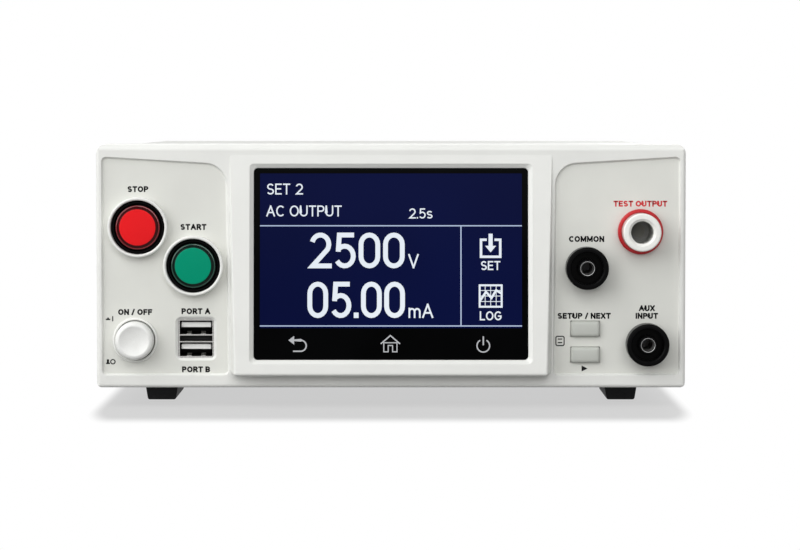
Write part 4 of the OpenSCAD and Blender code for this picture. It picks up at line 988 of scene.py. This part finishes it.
def seen_directly(tree):
    """1 for what the camera sees straight, in a reflection or through glass."""
    path = tree.nodes.new("ShaderNodeLightPath")
    total = path.outputs["Is Camera Ray"]
    for name in ("Is Glossy Ray", "Is Transmission Ray"):
        more = tree.nodes.new("ShaderNodeMath")
        more.operation = "MAXIMUM"
        tree.links.new(total, more.inputs[0])
        tree.links.new(path.outputs[name], more.inputs[1])
        total = more.outputs["Value"]
    return total


def make_world():
    """White background over a plain grey light from all round."""
    world = bpy.data.worlds.new("studio")
    bpy.context.scene.world = world
    world.use_nodes = True
    tree = world.node_tree
    around = tree.nodes["Background"]
    around.inputs["Color"].default_value = (1, 1, 1, 1)
    around.inputs["Strength"].default_value = WORLD_LIGHT
    white = tree.nodes.new("ShaderNodeBackground")
    white.inputs["Color"].default_value = (1, 1, 1, 1)
    white.inputs["Strength"].default_value = 1
    mix = tree.nodes.new("ShaderNodeMixShader")
    tree.links.new(seen_directly(tree), mix.inputs["Fac"])
    tree.links.new(around.outputs["Background"], mix.inputs[1])
    tree.links.new(white.outputs["Background"], mix.inputs[2])
    tree.links.new(mix.outputs["Shader"], tree.nodes["World Output"].inputs["Surface"])


def make_floor():
    """Pale floor that keeps the object's shadow and a painted shadow patch by it, and turns white away from
    it.
    """
    bounce = (FLOOR_BOUNCE,) * 3
    made, tree, main = shader("pale_floor", bounce, FLOOR_ROUGHNESS, Specular_IOR_Level=FLOOR_GLOSS)
    direct = seen_directly(tree)
    blended(tree, bounce, (FLOOR_TONE,) * 3, direct, main.inputs["Base Color"])
    spot = tree.nodes.new("ShaderNodeNewGeometry").outputs["Position"]
    edge = cad_high - RIGHT * SHADOW_INSET
    for operation, value in (("ABSOLUTE", None), ("SUBTRACT", edge), ("MAXIMUM", (0, 0, 0)),
                             ("MULTIPLY", (SHADOW_SIDE, 1, 1))):
        step = tree.nodes.new("ShaderNodeVectorMath")
        step.operation = operation
        tree.links.new(spot, step.inputs[0])
        if value is not None:
            step.inputs[1].default_value = value
        spot = step.outputs["Vector"]
    away = tree.nodes.new("ShaderNodeVectorMath")
    away.operation = "LENGTH"
    tree.links.new(spot, away.inputs[0])
    # Painted shadow: the glow grows from its share by the object to full away from it
    fade = tree.nodes.new("ShaderNodeMapRange")
    fade.interpolation_type = "SMOOTHSTEP"
    fade.inputs["From Min"].default_value = SHADOW_NEAR
    fade.inputs["From Max"].default_value = SHADOW_FAR
    fade.inputs["To Min"].default_value = FLOOR_GLOW
    tree.links.new(away.outputs["Value"], fade.inputs["Value"])
    share = tree.nodes.new("ShaderNodeMath")
    share.operation = "MULTIPLY"
    tree.links.new(direct, share.inputs[0])
    tree.links.new(fade.outputs["Result"], share.inputs[1])
    glow = tree.nodes.new("ShaderNodeEmission")
    mix = tree.nodes.new("ShaderNodeMixShader")
    tree.links.new(share.outputs["Value"], mix.inputs["Fac"])
    tree.links.new(main.outputs["BSDF"], mix.inputs[1])
    tree.links.new(glow.outputs["Emission"], mix.inputs[2])
    tree.links.new(mix.outputs["Shader"], tree.nodes["Material Output"].inputs["Surface"])
    shape = bmesh.new()
    bmesh.ops.create_grid(shape, x_segments=1, y_segments=1, size=FLOOR_W / 2)
    mesh = bpy.data.meshes.new("floor")
    shape.to_mesh(mesh)
    shape.free()
    mesh.materials.append(made)
    floor = bpy.data.objects.new("floor", mesh)
    bpy.context.scene.collection.objects.link(floor)


bpy.context.scene.view_settings.view_transform = "Standard"
make_world()
make_floor()
camera_data = bpy.data.cameras.new("camera")
camera_data.lens = LENS
camera = bpy.data.objects.new("camera", camera_data)
aimed(camera, (CAMERA_SIDE, FACE_Y - CAMERA_AWAY, CAMERA_HIGH), (CAMERA_SIDE, FACE_Y, AIM_HIGH))
bpy.context.scene.camera = camera
lamp("key_lamp", (-1.15, -1.0, 0.95), FRONT_AIM, size=2.0, power=30)
lamp("fill_lamp", (0.3, -1.6, 0.75), FRONT_AIM, size=1.0, power=8)
lamp("back_lamp", (0, 1.2, 1.6), MIDDLE_AIM, size=0.9, power=5)
lamp("rear_lamp", (0.7, 1.9, 0.45), MIDDLE_AIM, size=1.0, power=12)
